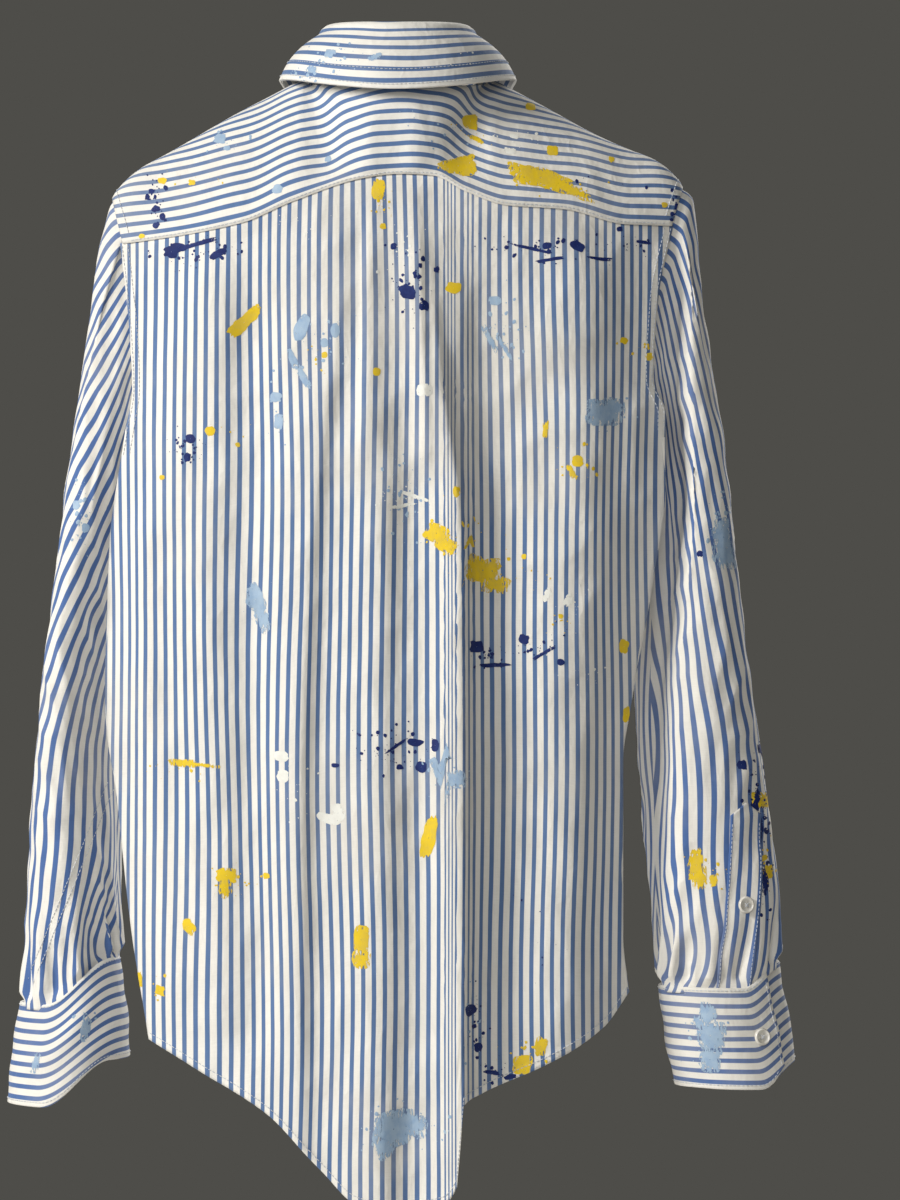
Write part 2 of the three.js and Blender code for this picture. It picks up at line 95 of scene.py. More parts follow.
# ---- lines, folds and creases ----------------------------------------------------------------
def through(stations: Stations, at: Array) -> Array:
    """A smooth line through stations: cubic Hermite pieces that never overshoot them.

    Args:
        stations: (key, value) pairs in millimetres, in either order of keys.
        at: the keys to read, in metres.

    Returns:
        The values at those keys, in metres, held level past either end.
    """
    keys, values = (np.array(sorted(stations), float) * MM).T
    rates = np.diff(values) / np.diff(keys)
    both = rates[1:] * rates[:-1]
    turning = np.where(both > 0, 2 * both / np.where(both > 0, rates[1:] + rates[:-1], 1.0), 0.0)
    slopes = np.concatenate([rates[:1], turning, rates[-1:]])
    i = np.clip(np.searchsorted(keys, at) - 1, 0, len(keys) - 2)
    gap = keys[i + 1] - keys[i]
    t = np.clip((at - keys[i]) / gap, 0.0, 1.0)
    return ((1 + 2 * t) * (1 - t) ** 2 * values[i] + t * (1 - t) ** 2 * gap * slopes[i]
            + t * t * (3 - 2 * t) * values[i + 1] - t * t * (1 - t) * gap * slopes[i + 1])


def smooth(low: float, high: float, x: Array) -> Array:
    """A smooth rise from 0 at low to 1 at high."""
    t = np.clip((x - low) / (high - low), 0.0, 1.0)
    return t * t * (3 - 2 * t)


def lerp(a: Array | float, b: Array | float, t: Array | float) -> Array:
    """The straight way from a to b."""
    return a + (b - a) * t


@dataclass(frozen=True)
class Crumple:
    """Creasing of worn cotton: seeded waves in all directions, optionally sharpened into ridges.

    The height is that of a sum of plane waves, s, or of 1 - 2|s| where the creases are sharp.
    """

    wavelength: float
    height: float
    stretch: float = 1.0
    seed: int = 1
    sharp: bool = False
    waves: int = 16

    def over(self, across: Array, down: Array) -> Array:
        """The height over cloth coordinates, where stretch lengthens the creases downwards."""
        random = np.random.default_rng(self.seed)
        total = np.zeros_like(across)
        for _ in range(self.waves):
            angle, phase = random.uniform(0, 2 * math.pi, 2)
            rate = 2 * math.pi / (self.wavelength * random.uniform(0.65, 1.5))
            total += np.sin(rate * (across * math.cos(angle) + down * math.sin(angle) / self.stretch) + phase)
        total /= math.sqrt(self.waves / 2)
        return self.height * ((1 - 2 * np.abs(total)) if self.sharp else total)


@dataclass(frozen=True)
class Fold:
    """A fold running down the cloth: a ridge along a line, with its own width on either side.

    The height is rise * exp(-(d / width)^2), with d the distance from the line. A small width makes
    that side a sharp drop. The rise fades in and out over the line's first and last stations.
    """

    path: Stations
    rise: float
    left: float
    right: float
    fade: float = 40.0

    def over(self, x: Array, z: Array) -> Array:
        """The height over places x and z."""
        away = x - through([(b, a) for a, b in self.path], z)
        width = np.where(away > 0, self.left, self.right) * MM
        keys = [b for _, b in self.path]
        strength = (smooth(min(keys) * MM, (min(keys) + self.fade) * MM, z)
                    * (1 - smooth((max(keys) - self.fade) * MM, max(keys) * MM, z)))
        return self.rise * MM * strength * np.exp(-((away / width) ** 2))


# ---- cloth grids -----------------------------------------------------------------------------
@dataclass
class Cloth:
    """A cloth surface on a grid: points and cloth coordinates, rows x columns x 3 and x 2."""

    points: Array
    flat: Array
    ring: bool = False
    flip: bool = False

    def normals(self) -> Array:
        """The unit normals at the grid's points, from the cross product of its two directions."""
        along = np.gradient(self.points, axis=1)
        if self.ring:
            along[:, 0] = along[:, -1] = self.points[:, 1] - self.points[:, -2]
        normal = np.cross(along, np.gradient(self.points, axis=0))
        normal /= np.maximum(np.linalg.norm(normal, axis=2, keepdims=True), 1e-12)
        return -normal if self.flip else normal

    def lifted(self, by: float | Array) -> "Cloth":
        """The same cloth moved out along its normals."""
        by = np.asarray(by)[..., None] if np.ndim(by) else by
        return Cloth(self.points + self.normals() * by, self.flat, self.ring, self.flip)

    def sample(self, row: Array, column: Array, lift: float | Array = 0.0) -> Array:
        """Points of the surface at fractional rows and columns, lifted along the normal."""
        rows, columns = self.points.shape[:2]
        row, column = np.clip(row, 0, rows - 1.001), np.clip(column, 0, columns - 1.001)
        r, c = row.astype(int), column.astype(int)
        a, b = (row - r)[..., None], (column - c)[..., None]

        def blend(grid: Array) -> Array:
            """Bilinear reading of one grid."""
            top = grid[r, c] * (1 - b) + grid[r, c + 1] * b
            low = grid[r + 1, c] * (1 - b) + grid[r + 1, c + 1] * b
            return top * (1 - a) + low * a

        return blend(self.points) + blend(self.normals()) * np.asarray(lift)[..., None]

    def find(self, x: Array, z: Array, facing: int = 1) -> tuple[Array, Array]:
        """The fractional rows and columns that stand at places x and z, seen from behind or in front.

        Each place takes its nearest grid point that faces that way, moved by its distance along the
        grid's two directions there.

        Args:
            x: places across, in metres.
            z: heights, in metres.
            facing: 1 for the side towards the back, -1 for the front.

        Returns:
            Rows and columns, as fractions.
        """
        turned = self.normals()[..., 1] * facing > 0.2
        flat_view = self.points[..., [0, 2]]
        x, z = np.atleast_1d(x), np.atleast_1d(z)
        rows, columns = np.empty(len(x)), np.empty(len(x))
        down, along = np.gradient(flat_view, axis=0), np.gradient(flat_view, axis=1)
        for k, target in enumerate(np.stack([x, z], axis=1)):
            gap = np.where(turned, ((flat_view - target) ** 2).sum(2), np.inf)
            r, c = np.unravel_index(np.argmin(gap), gap.shape)
            basis = np.stack([down[r, c], along[r, c]], axis=1)
            step = np.linalg.lstsq(basis, target - flat_view[r, c], rcond=None)[0]
            rows[k], columns[k] = r + np.clip(step[0], -1, 1), c + np.clip(step[1], -1, 1)
        return rows, columns


def lengths(points: Array, axis: int) -> Array:
    """Distance travelled along a grid's rows (axis 0) or columns (axis 1), starting at 0."""
    steps = np.linalg.norm(np.diff(points, axis=axis), axis=2)
    pad = [(1, 0), (0, 0)] if axis == 0 else [(0, 0), (1, 0)]
    return np.cumsum(np.pad(steps, pad), axis=axis)


def steady(reading: Array, degree: int = 4) -> Array:
    """A grid's reading with its unevenness down each column taken out: a polynomial per column."""
    rows = np.linspace(-1, 1, reading.shape[0])
    return np.polynomial.polynomial.polyval(
        rows, np.polynomial.polynomial.polyfit(rows, reading, degree)).T


def grid(width: float, length: float, spacing: float = GRID) -> tuple[Array, Array]:
    """u and v from 0 to 1 on a grid with that spacing; u runs along columns and v along rows."""
    return np.meshgrid(np.linspace(0, 1, max(4, round(width / spacing)) + 1),
                       np.linspace(0, 1, max(4, round(length / spacing)) + 1))


def faces_of(rows: int, columns: int, ring: bool, flip: bool) -> tuple[Array, Array]:
    """Quads over a grid as indices of its points, and as indices of its cloth coordinates."""
    r, c = np.meshgrid(np.arange(rows - 1), np.arange(columns - 1), indexing="ij")
    corners = [(r, c), (r + 1, c), (r + 1, c + 1), (r, c + 1)]
    corners = corners if flip else corners[::-1]
    width = columns - 1 if ring else columns
    points = np.stack([a * width + b % width for a, b in corners], axis=-1)
    coordinates = np.stack([a * columns + b for a, b in corners], axis=-1)
    return points.reshape(-1, 4), coordinates.reshape(-1, 4)


def new_object(name: str, points: Array, faces: Array,
               coordinates: Optional[Array] = None) -> bpy.types.Object:
    """A smooth-shaded mesh object at the origin.

    Args:
        name: the piece's name.
        points: vertices, n x 3.
        faces: vertex indices of each face, or a list of such arrays.
        coordinates: cloth coordinates for each face corner in turn, if it has them.

    Returns:
        The object, linked to the scene.
    """
    mesh = bpy.data.meshes.new(name)
    corners = [list(map(int, face)) for face in faces]
    mesh.from_pydata(np.asarray(points, float).reshape(-1, 3).tolist(), [], corners)
    if coordinates is not None:
        mesh.uv_layers.new(name="cloth").data.foreach_set("uv", np.asarray(coordinates, np.float32).ravel())
    mesh.polygons.foreach_set("use_smooth", np.ones(len(mesh.polygons), bool))
    mesh.update()
    piece = bpy.data.objects.new(name, mesh)
    bpy.context.scene.collection.objects.link(piece)
    return piece


def sew(name: str, cloth: Cloth, thickness: float = CLOTH) -> bpy.types.Object:
    """Makes a cloth grid a piece whose wall grows inwards from the grid."""
    rows, columns = cloth.points.shape[:2]
    faces, corners = faces_of(rows, columns, cloth.ring, cloth.flip)
    points = cloth.points[:, :-1] if cloth.ring else cloth.points
    piece = new_object(name, points, faces, cloth.flat.reshape(-1, 2)[corners.ravel()])
    wall = piece.modifiers.new("wall", "SOLIDIFY")
    wall.thickness = thickness
    wall.offset = -1.0
    return piece


# ---- how a piece hangs on the frame ------------------------------------------------------------
@dataclass(frozen=True)
class Hang:
    """Which body a piece rides on, or which two bodies it lies between and where."""

    body: str
    onto: Optional[str] = None
    start: Place = (0.0, 0.0, 0.0)
    end: Place = (0.0, 0.0, 0.0)

    def hold(self, piece: bpy.types.Object) -> None:
        """Attaches the piece to its body, or, for a piece between two bodies, bakes its placement into its
        mesh.
        """
        if self.onto is None:
            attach(piece, self.body)
        else:
            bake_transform(piece)


def joint(name: str) -> dict:
    """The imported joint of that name."""
    return next(j for j in frame["joints"] if j["name"] == name)


def sleeve_hang(side: str) -> Hang:
    """The bend from the armhole into the sleeve: outwards and down from the underarm."""
    x, y, z = joint(f"{side}_sleeve_lift")["pos_m"]
    out = math.copysign(1.0, x)
    return Hang(TORSO, f"{side}_sleeve", (x, y, z), (x + out * 78 * MM, y, z - 104 * MM))


def front_hang(side: str) -> Hang:
    """The turn from the fastened chest into the loose front, downwards from the chest's split."""
    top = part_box(f"{side}_front")[1].z
    return Hang(TORSO, f"{side}_front", (0, 0, top), (0, 0, top - 230 * MM))


# ---- wiring of materials -----------------------------------------------------------------------
class Wiring:
    """Adds nodes to one shader tree and joins them."""

    def __init__(self, tree: bpy.types.NodeTree) -> None:
        """Keeps the tree that the nodes go in."""
        self.tree = tree

    def node(self, kind: str, inputs: Optional[dict] = None, **settings: object) -> bpy.types.Node:
        """A node with its settings, and with inputs that are either sockets to join or plain values."""
        made = self.tree.nodes.new(kind)
        for key, value in settings.items():
            setattr(made, key, value)
        for key, value in (inputs or {}).items():
            self.feed(made.inputs[key], value)
        return made

    def feed(self, socket: bpy.types.NodeSocket, value: object) -> None:
        """Joins a socket to another, or sets its own value."""
        if isinstance(value, bpy.types.NodeSocket):
            self.tree.links.new(value, socket)
        else:
            socket.default_value = value

    def math(self, operation: str, *values: object) -> bpy.types.NodeSocket:
        """A Math node's value."""
        made = self.node("ShaderNodeMath", dict(enumerate(values)), operation=operation)
        return made.outputs[0]

    def ramp(self, value: object, low: float, high: float) -> bpy.types.NodeSocket:
        """A smooth rise from 0 at low to 1 at high."""
        made = self.node("ShaderNodeMapRange", {"Value": value, "From Min": low, "From Max": high},
                         interpolation_type="SMOOTHSTEP")
        return made.outputs["Result"]

    def mix(self, share: object, a: object, b: object) -> bpy.types.NodeSocket:
        """Two colours mixed."""
        made = self.node("ShaderNodeMix", {"Factor": share, 6: a, 7: b}, data_type="RGBA")
        return made.outputs[2]

    def noise(self, place: object, scale: float, detail: float = 2.0,
              rough: float = 0.5) -> bpy.types.NodeSocket:
        """A Noise texture's value."""
        made = self.node("ShaderNodeTexNoise", {"Vector": place, "Scale": scale, "Detail": detail,
                                                "Roughness": rough})
        return made.outputs["Fac"]

    def stretched(self, place: object, scale: Place) -> bpy.types.NodeSocket:
        """A place scaled differently along its axes."""
        return self.node("ShaderNodeMapping", {"Vector": place, "Scale": scale}).outputs[0]

    def group(self, name: str, inputs: dict) -> bpy.types.Node:
        """A node that uses a shared group."""
        made = self.node("ShaderNodeGroup", node_tree=bpy.data.node_groups[name])
        for key, value in inputs.items():
            self.feed(made.inputs[key], value)
        return made


def shared_group(name: str, inputs: dict[str, Optional[float]],
                 outputs: Sequence[str]) -> tuple[Wiring, dict]:
    """Starts a shared node group.

    Args:
        name: the group's name.
        inputs: input names with their default values; None makes a vector input.
        outputs: names of its value outputs.

    Returns:
        The group's wiring, and its inputs as sockets; the output node is under "out".
    """
    tree = bpy.data.node_groups.new(name, "ShaderNodeTree")
    for key, value in inputs.items():
        kind = "NodeSocketVector" if value is None else "NodeSocketFloat"
        made = tree.interface.new_socket(name=key, in_out="INPUT", socket_type=kind)
        if value is not None:
            made.default_value = value
    for key in outputs:
        tree.interface.new_socket(name=key, in_out="OUTPUT", socket_type="NodeSocketFloat")
    wiring = Wiring(tree)
    sockets = {s.name: s for s in wiring.node("NodeGroupInput").outputs if s.name}
    sockets["out"] = wiring.node("NodeGroupOutput")
    return wiring, sockets


STRIPES = "yarn dyed stripes"
WEAVE = "poplin weave"
AGEING = "washed and worn"


def build_stripes() -> None:
    """Stripes across a cloth coordinate: 1 inside the dyed warp ends and 0 outside, softly edged."""
    period = STRIPE_PERIOD / MM
    w, s = shared_group(STRIPES, {"Cloth": None, "Period": period, "Width": 3.0, "Softness": 0.3}, ["Mask"])
    parts = w.node("ShaderNodeSeparateXYZ", {"Vector": s["Cloth"]}).outputs
    wander = w.noise(w.stretched(s["Cloth"], (0.03, 0.03, 1.0)), 900.0, 1.0)
    across = w.math("ADD", w.math("MULTIPLY", parts[0], 1 / MM), w.math("MULTIPLY", wander, 0.5))
    above_zero = w.math("ADD", across, 1000 * period)
    in_period = w.math("MODULO", above_zero, s["Period"])
    from_middle = w.math("ABSOLUTE", w.math("SUBTRACT", in_period, w.math("MULTIPLY", s["Period"], 0.5)))
    edge = w.math("SUBTRACT", w.math("MULTIPLY", s["Width"], 0.5), from_middle)
    share = w.math("ADD", w.math("DIVIDE", edge, s["Softness"]), 0.5)
    w.feed(s["out"].inputs["Mask"], w.ramp(share, 0.0, 1.0))


def build_weave() -> None:
    """Plain weave: warp and weft threads rising in turn, a product of two waves, with uneven yarns."""
    w, s = shared_group(WEAVE, {"Cloth": None, "Pitch": 0.55}, ["Height", "Slub"])
    parts = w.node("ShaderNodeSeparateXYZ", {"Vector": s["Cloth"]}).outputs
    rate = w.math("DIVIDE", 2 * math.pi / MM, s["Pitch"])
    warp = w.math("SINE", w.math("MULTIPLY", parts[0], rate))
    weft = w.math("SINE", w.math("MULTIPLY", parts[1], rate))
    w.feed(s["out"].inputs["Height"], w.math("MULTIPLY", warp, weft))
    lengthways = w.noise(w.stretched(s["Cloth"], (1.0, 0.04, 1.0)), 2600.0, 2.0)
    crossways = w.noise(w.stretched(s["Cloth"], (0.04, 1.0, 1.0)), 2200.0, 2.0)
    w.feed(s["out"].inputs["Slub"], w.math("MULTIPLY", w.math("ADD", lengthways, crossways), 0.5))


def build_ageing() -> None:
    """Wear over a place: soiling in broad clouds, and a fine net of creases left by washing."""
    w, s = shared_group(AGEING, {"Place": None}, ["Soil", "Crease"])
    clouds = w.noise(s["Place"], 9.0, 5.0, 0.6)
    w.feed(s["out"].inputs["Soil"], w.ramp(clouds, 0.45, 0.75))
    warped = w.noise(w.stretched(s["Place"], (1.0, 1.0, 0.6)), 55.0, 3.0, 0.55)
    ridge = w.math("ABSOLUTE", w.math("SUBTRACT", warped, 0.5))
    w.feed(s["out"].inputs["Crease"], w.math("SUBTRACT", 1.0, w.math("MULTIPLY", ridge, 2.0)))


def new_material(name: str) -> tuple[bpy.types.Material, Wiring, bpy.types.Node]:
    """An empty node material, its wiring and its Principled shader."""
    made = bpy.data.materials.new(name)
    made.use_nodes = True
    wiring = Wiring(made.node_tree)
    shader = next(n for n in made.node_tree.nodes if n.type == "BSDF_PRINCIPLED")
    return made, wiring, shader


Colour = tuple[float, float, float, float]


def colour(red: int, green: int, blue: int) -> Colour:
    """A linear colour from a displayed one with parts up to 255."""
    parts = [c / 255 for c in (red, green, blue)]
    linear = [c / 12.92 if c <= 0.04045 else ((c + 0.055) / 1.055) ** 2.4 for c in parts]
    return (*linear, 1.0)


@dataclass(frozen=True)
class StripedCotton:
    """Yarn-dyed poplin: blue warp stripes on white, with weave, slubs, soiling and wash creases."""

    name: str = "striped cotton"
    white: Colour = colour(240, 236, 227)
    blue: Colour = colour(92, 120, 163)
    soil: Colour = colour(206, 199, 184)
    stripe: float = 3.0
    roughness: float = 0.86
    creases: float = 0.45

    def make(self) -> bpy.types.Material:
        """Builds the material from the shared groups."""
        made, w, shader = new_material(self.name)
        place = w.node("ShaderNodeTexCoord").outputs["Object"]
        cloth = w.node("ShaderNodeUVMap", uv_map="cloth").outputs["UV"]
        mask = w.group(STRIPES, {"Cloth": cloth, "Width": self.stripe}).outputs["Mask"]
        weave = w.group(WEAVE, {"Cloth": cloth}).outputs
        ageing = w.group(AGEING, {"Place": place}).outputs
        base = w.mix(mask, self.white, self.blue)
        soiled = w.mix(w.math("MULTIPLY", ageing["Soil"], 0.28), base, self.soil)
        thread = w.node("ShaderNodeHueSaturation", {
            "Value": w.math("ADD", 0.86, w.math("MULTIPLY", weave["Slub"], 0.28)), "Color": soiled})
        w.feed(shader.inputs["Base Color"], thread.outputs["Color"])
        shader.inputs["Roughness"].default_value = self.roughness
        shader.inputs["Specular IOR Level"].default_value = 0.25
        shader.inputs["Sheen Weight"].default_value = 0.18
        shader.inputs["Sheen Roughness"].default_value = 0.5
        fine = w.node("ShaderNodeBump", {"Height": weave["Height"], "Strength": 0.22, "Distance": 0.00012})
        creased = w.node("ShaderNodeBump", {"Height": ageing["Crease"], "Strength": self.creases,
                                            "Distance": 0.0022, "Normal": fine.outputs[0]})
        w.feed(shader.inputs["Normal"], creased.outputs[0])
        return made


@dataclass(frozen=True)
class PlainFinish:
    """A plain finish with a little mottling and grain, for thread, tape, interlining and resin."""

    name: str
    tone: Colour
    shade: Colour
    roughness: float
    grain: float = 400.0
    depth: float = 0.0002
    coat: float = 0.0

    def make(self) -> bpy.types.Material:
        """Builds the material."""
        made, w, shader = new_material(self.name)
        place = w.node("ShaderNodeTexCoord").outputs["Object"]
        mottle = w.noise(place, self.grain, 3.0)
        w.feed(shader.inputs["Base Color"], w.mix(w.ramp(mottle, 0.35, 0.65), self.tone, self.shade))
        shader.inputs["Roughness"].default_value = self.roughness
        shader.inputs["Coat Weight"].default_value = self.coat
        shader.inputs["Coat Roughness"].default_value = 0.12
        bump = w.node("ShaderNodeBump", {"Height": mottle, "Strength": 0.4, "Distance": self.depth})
        w.feed(shader.inputs["Normal"], bump.outputs[0])
        return made


@dataclass(frozen=True)
class DriedPaint:
    """Acrylic dried on cloth: uneven cover, brushed streaks and a rim that breaks up where it was dry.

    The piece's cloth coordinates hold (distance from the mark's middle to its rim, dryness).
    """

    name: str
    tone: Colour
    thin: Colour
    roughness: float = 0.42

    def make(self) -> bpy.types.Material:
        """Builds the material."""
        made, w, shader = new_material(self.name)
        place = w.node("ShaderNodeTexCoord").outputs["Object"]
        parts = w.node("ShaderNodeSeparateXYZ", {
            "Vector": w.node("ShaderNodeUVMap", uv_map="cloth").outputs["UV"]}).outputs
        streak = w.noise(w.stretched(place, (1.0, 1.0, 0.3)), 800.0, 4.0, 0.65)
        cover = w.noise(place, 160.0, 3.0, 0.6)
        w.feed(shader.inputs["Base Color"], w.mix(w.ramp(cover, 0.35, 0.7), self.tone, self.thin))
        dry = w.math("MULTIPLY", parts[1], w.ramp(parts[0], 0.0, 1.0))
        kept = w.math("SUBTRACT", w.math("ADD", w.ramp(streak, 0.34, 0.66), 0.5), dry)
        w.feed(shader.inputs["Alpha"], w.ramp(kept, 0.06, 0.16))
        shader.inputs["Roughness"].default_value = self.roughness
        shader.inputs["Specular IOR Level"].default_value = 0.22
        bump = w.node("ShaderNodeBump", {"Height": w.math("ADD", streak, cover), "Strength": 0.35,
                                         "Distance": 0.0004})
        w.feed(shader.inputs["Normal"], bump.outputs[0])
        return made


class Tone(Enum):
    """The paints on the smock."""

    YELLOW = DriedPaint("yellow paint", colour(238, 203, 40), colour(226, 194, 66), 0.55)
    NAVY = DriedPaint("navy paint", colour(24, 38, 96), colour(34, 52, 112), 0.6)
    SKY = DriedPaint("light blue paint", colour(166, 188, 208), colour(148, 174, 202), 0.5)
    CREAM = DriedPaint("cream paint", colour(244, 243, 234), colour(234, 232, 222), 0.45)


class Edge(Enum):
    """The four edges of a cloth grid, in its own rows and columns."""

    TOP = "top"
    BOTTOM = "bottom"
    LEFT = "left"
    RIGHT = "right"


class Wardrobe:
    """Every material of the smock, made once."""

    def __init__(self) -> None:
        """Builds the shared groups, then the materials."""
        for build in (build_stripes, build_weave, build_ageing):
            build()
        self.cotton = StripedCotton().make()
        # painted shade: the sleeves take a darker blue copy of the same striped cotton, standing in for the
        # shade on them
        self.sleeve_cotton_shaded = StripedCotton("striped cotton, sleeves", blue=colour(80, 111, 165)).make()
        # painted shade: the yoke's inside layer takes a darker white copy of the same striped cotton,
        # standing in for the shade inside
        self.inner_cotton_shaded = StripedCotton("striped cotton, inside", white=colour(228, 224, 214)).make()
        self.thread = PlainFinish("sewing thread", colour(222, 224, 226), colour(190, 196, 204), 0.6).make()
        self.resin = PlainFinish("pearly resin", colour(240, 236, 226), colour(212, 206, 192), 0.18,
                                 120.0, 0.0001, 0.6).make()
        self.tape = PlainFinish("label tape", colour(238, 236, 230), colour(222, 219, 210), 0.7, 900.0).make()


def give(piece: bpy.types.Object, material: bpy.types.Material) -> None:
    """Sets a piece's one material."""
    piece.data.materials.clear()
    piece.data.materials.append(material)


# ---- body lines --------------------------------------------------------------------------------
# Stations run (height, distance from the middle) for edges and (place across, height) for seams.
LEFT_EDGE = ((-100, 183), (-155, 177), (-196, 175), (-227, 180), (-300, 190), (-406, 193), (-467, 185),
             (-550, 176), (-625, 164))
RIGHT_EDGE = ((-88, 182), (-138, 172), (-190, 169), (-212, 177), (-257, 177), (-327, 168), (-406, 154),
              (-441, 149), (-557, 149), (-594, 153))
YOKE_SEAM = ((182, -100), (145, -96), (101, -88), (69, -75), (23, -60), (-2, -57), (-24, -58),
             (-45, -68), (-72, -77), (-109, -79), (-152, -88), (-182, -88))
HEM = ((164, -625), (128, -645), (84, -671), (49, -707), (26, -728), (0, -733), (-30, -728), (-40, -714),
       (-43, -664), (-54, -658), (-98, -639), (-136, -616), (-153, -594))
SHOULDER_LINE = ((60, 8), (75, 0), (107, -16), (153, -41), (170, -50), (187, -66), (191, -74))
FRONT_ARMHOLE = ((-60, 186), (-84, 186), (-118, 171), (-155, 168), (-190, 169), (-226, 172), (-250, 166))
UNDERARM = -226 * MM
SEAM_HALF = 181 * MM  # half the yoke seam's width
HAND = {"left": 1.0, "right": -1.0}
BACK_SIDE_Y = 19 * MM
BACK_BULGE = 36 * MM
NECK_Y = -8 * MM


def back_depth(across: Array, z: Array) -> Array:
    """The back's depth: flat in the middle and curving in to the side edges."""
    bulge = BACK_BULGE + 6 * MM * np.clip(z / -0.73, 0, 1)
    return BACK_SIDE_Y + bulge * (1 - np.abs(across) ** 2.6)


def ring_point(turn: Array, z: Array, half_width: float, back: float, front: float) -> Array:
    """A point of an egg-shaped ring round the neck; turn is 0 at the back's middle and pi at the front's."""
    depth = np.where(np.abs(turn) < math.pi / 2, back, front) * MM
    return np.stack([half_width * MM * np.sin(turn), NECK_Y + depth * np.cos(turn), z + 0 * turn], axis=-1)


def neck_height(turn: Array) -> Array:
    """Height of the neck seam round the ring."""
    c = np.cos(turn)
    return np.where(c > 0, 6 - 6 * c * c, 6 - 70 * np.abs(c) ** 3) * MM


def roll_height(turn: Array) -> Array:
    """Height of the collar's roll, where the stand ends: 37 mm up at the back and 27 mm at the front."""
    return neck_height(turn) + lerp(37, 27, (1 - np.cos(turn)) / 2) * MM


def turning_line(side: str, z: Array) -> Array:
    """How far from the middle the line lies that a front swings about, at each height."""
    hinge = joint(f"{side}_front_open")
    axis = hinge["axis"]
    return np.abs(hinge["pos_m"][0] + (z - hinge["pos_m"][2]) * axis[0] / axis[2])


@dataclass
class Piece:
    """A finished piece with the cloth it was made from, kept for stitching and painting."""

    name: str
    cloth: Cloth
    hang: Hang
    made: bpy.types.Object


class Garment:
    """What the smock's pieces share: their making and the material they take."""

    def __init__(self, wardrobe: Wardrobe) -> None:
        """Keeps the materials and starts an empty list of pieces."""
        self.wardrobe = wardrobe
        self.pieces: dict[str, Piece] = {}

    def cut(self, name: str, cloth: Cloth, hang: Hang, nodes: Sequence[str], material: bpy.types.Material,
            slot: str = "striped_cotton", thickness: float = CLOTH, rests_on: Sequence[str] = ()) -> Piece:
        """Args:
            name: the piece's name.
            cloth: its outer surface.
            hang: how it rides.
            nodes: the CAD nodes that it stands for.
            material: its finish.
            slot: not used.
            thickness: its wall; over one layer, the edges are rounded.
            rests_on: not used.

        Returns:
            The piece.
        """
        made = sew(name, cloth, thickness)
        if thickness > 2 * CLOTH:
            edge = made.modifiers.new("turned edge", "BEVEL")
            edge.width = thickness * 0.42
            edge.segments = 2
            edge.limit_method = "ANGLE"
            edge.angle_limit = math.radians(55)
        give(made, material)
        if nodes:
            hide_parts(*nodes)
        hang.hold(made)
        self.pieces[name] = Piece(name, cloth, hang, made)
        return self.pieces[name]


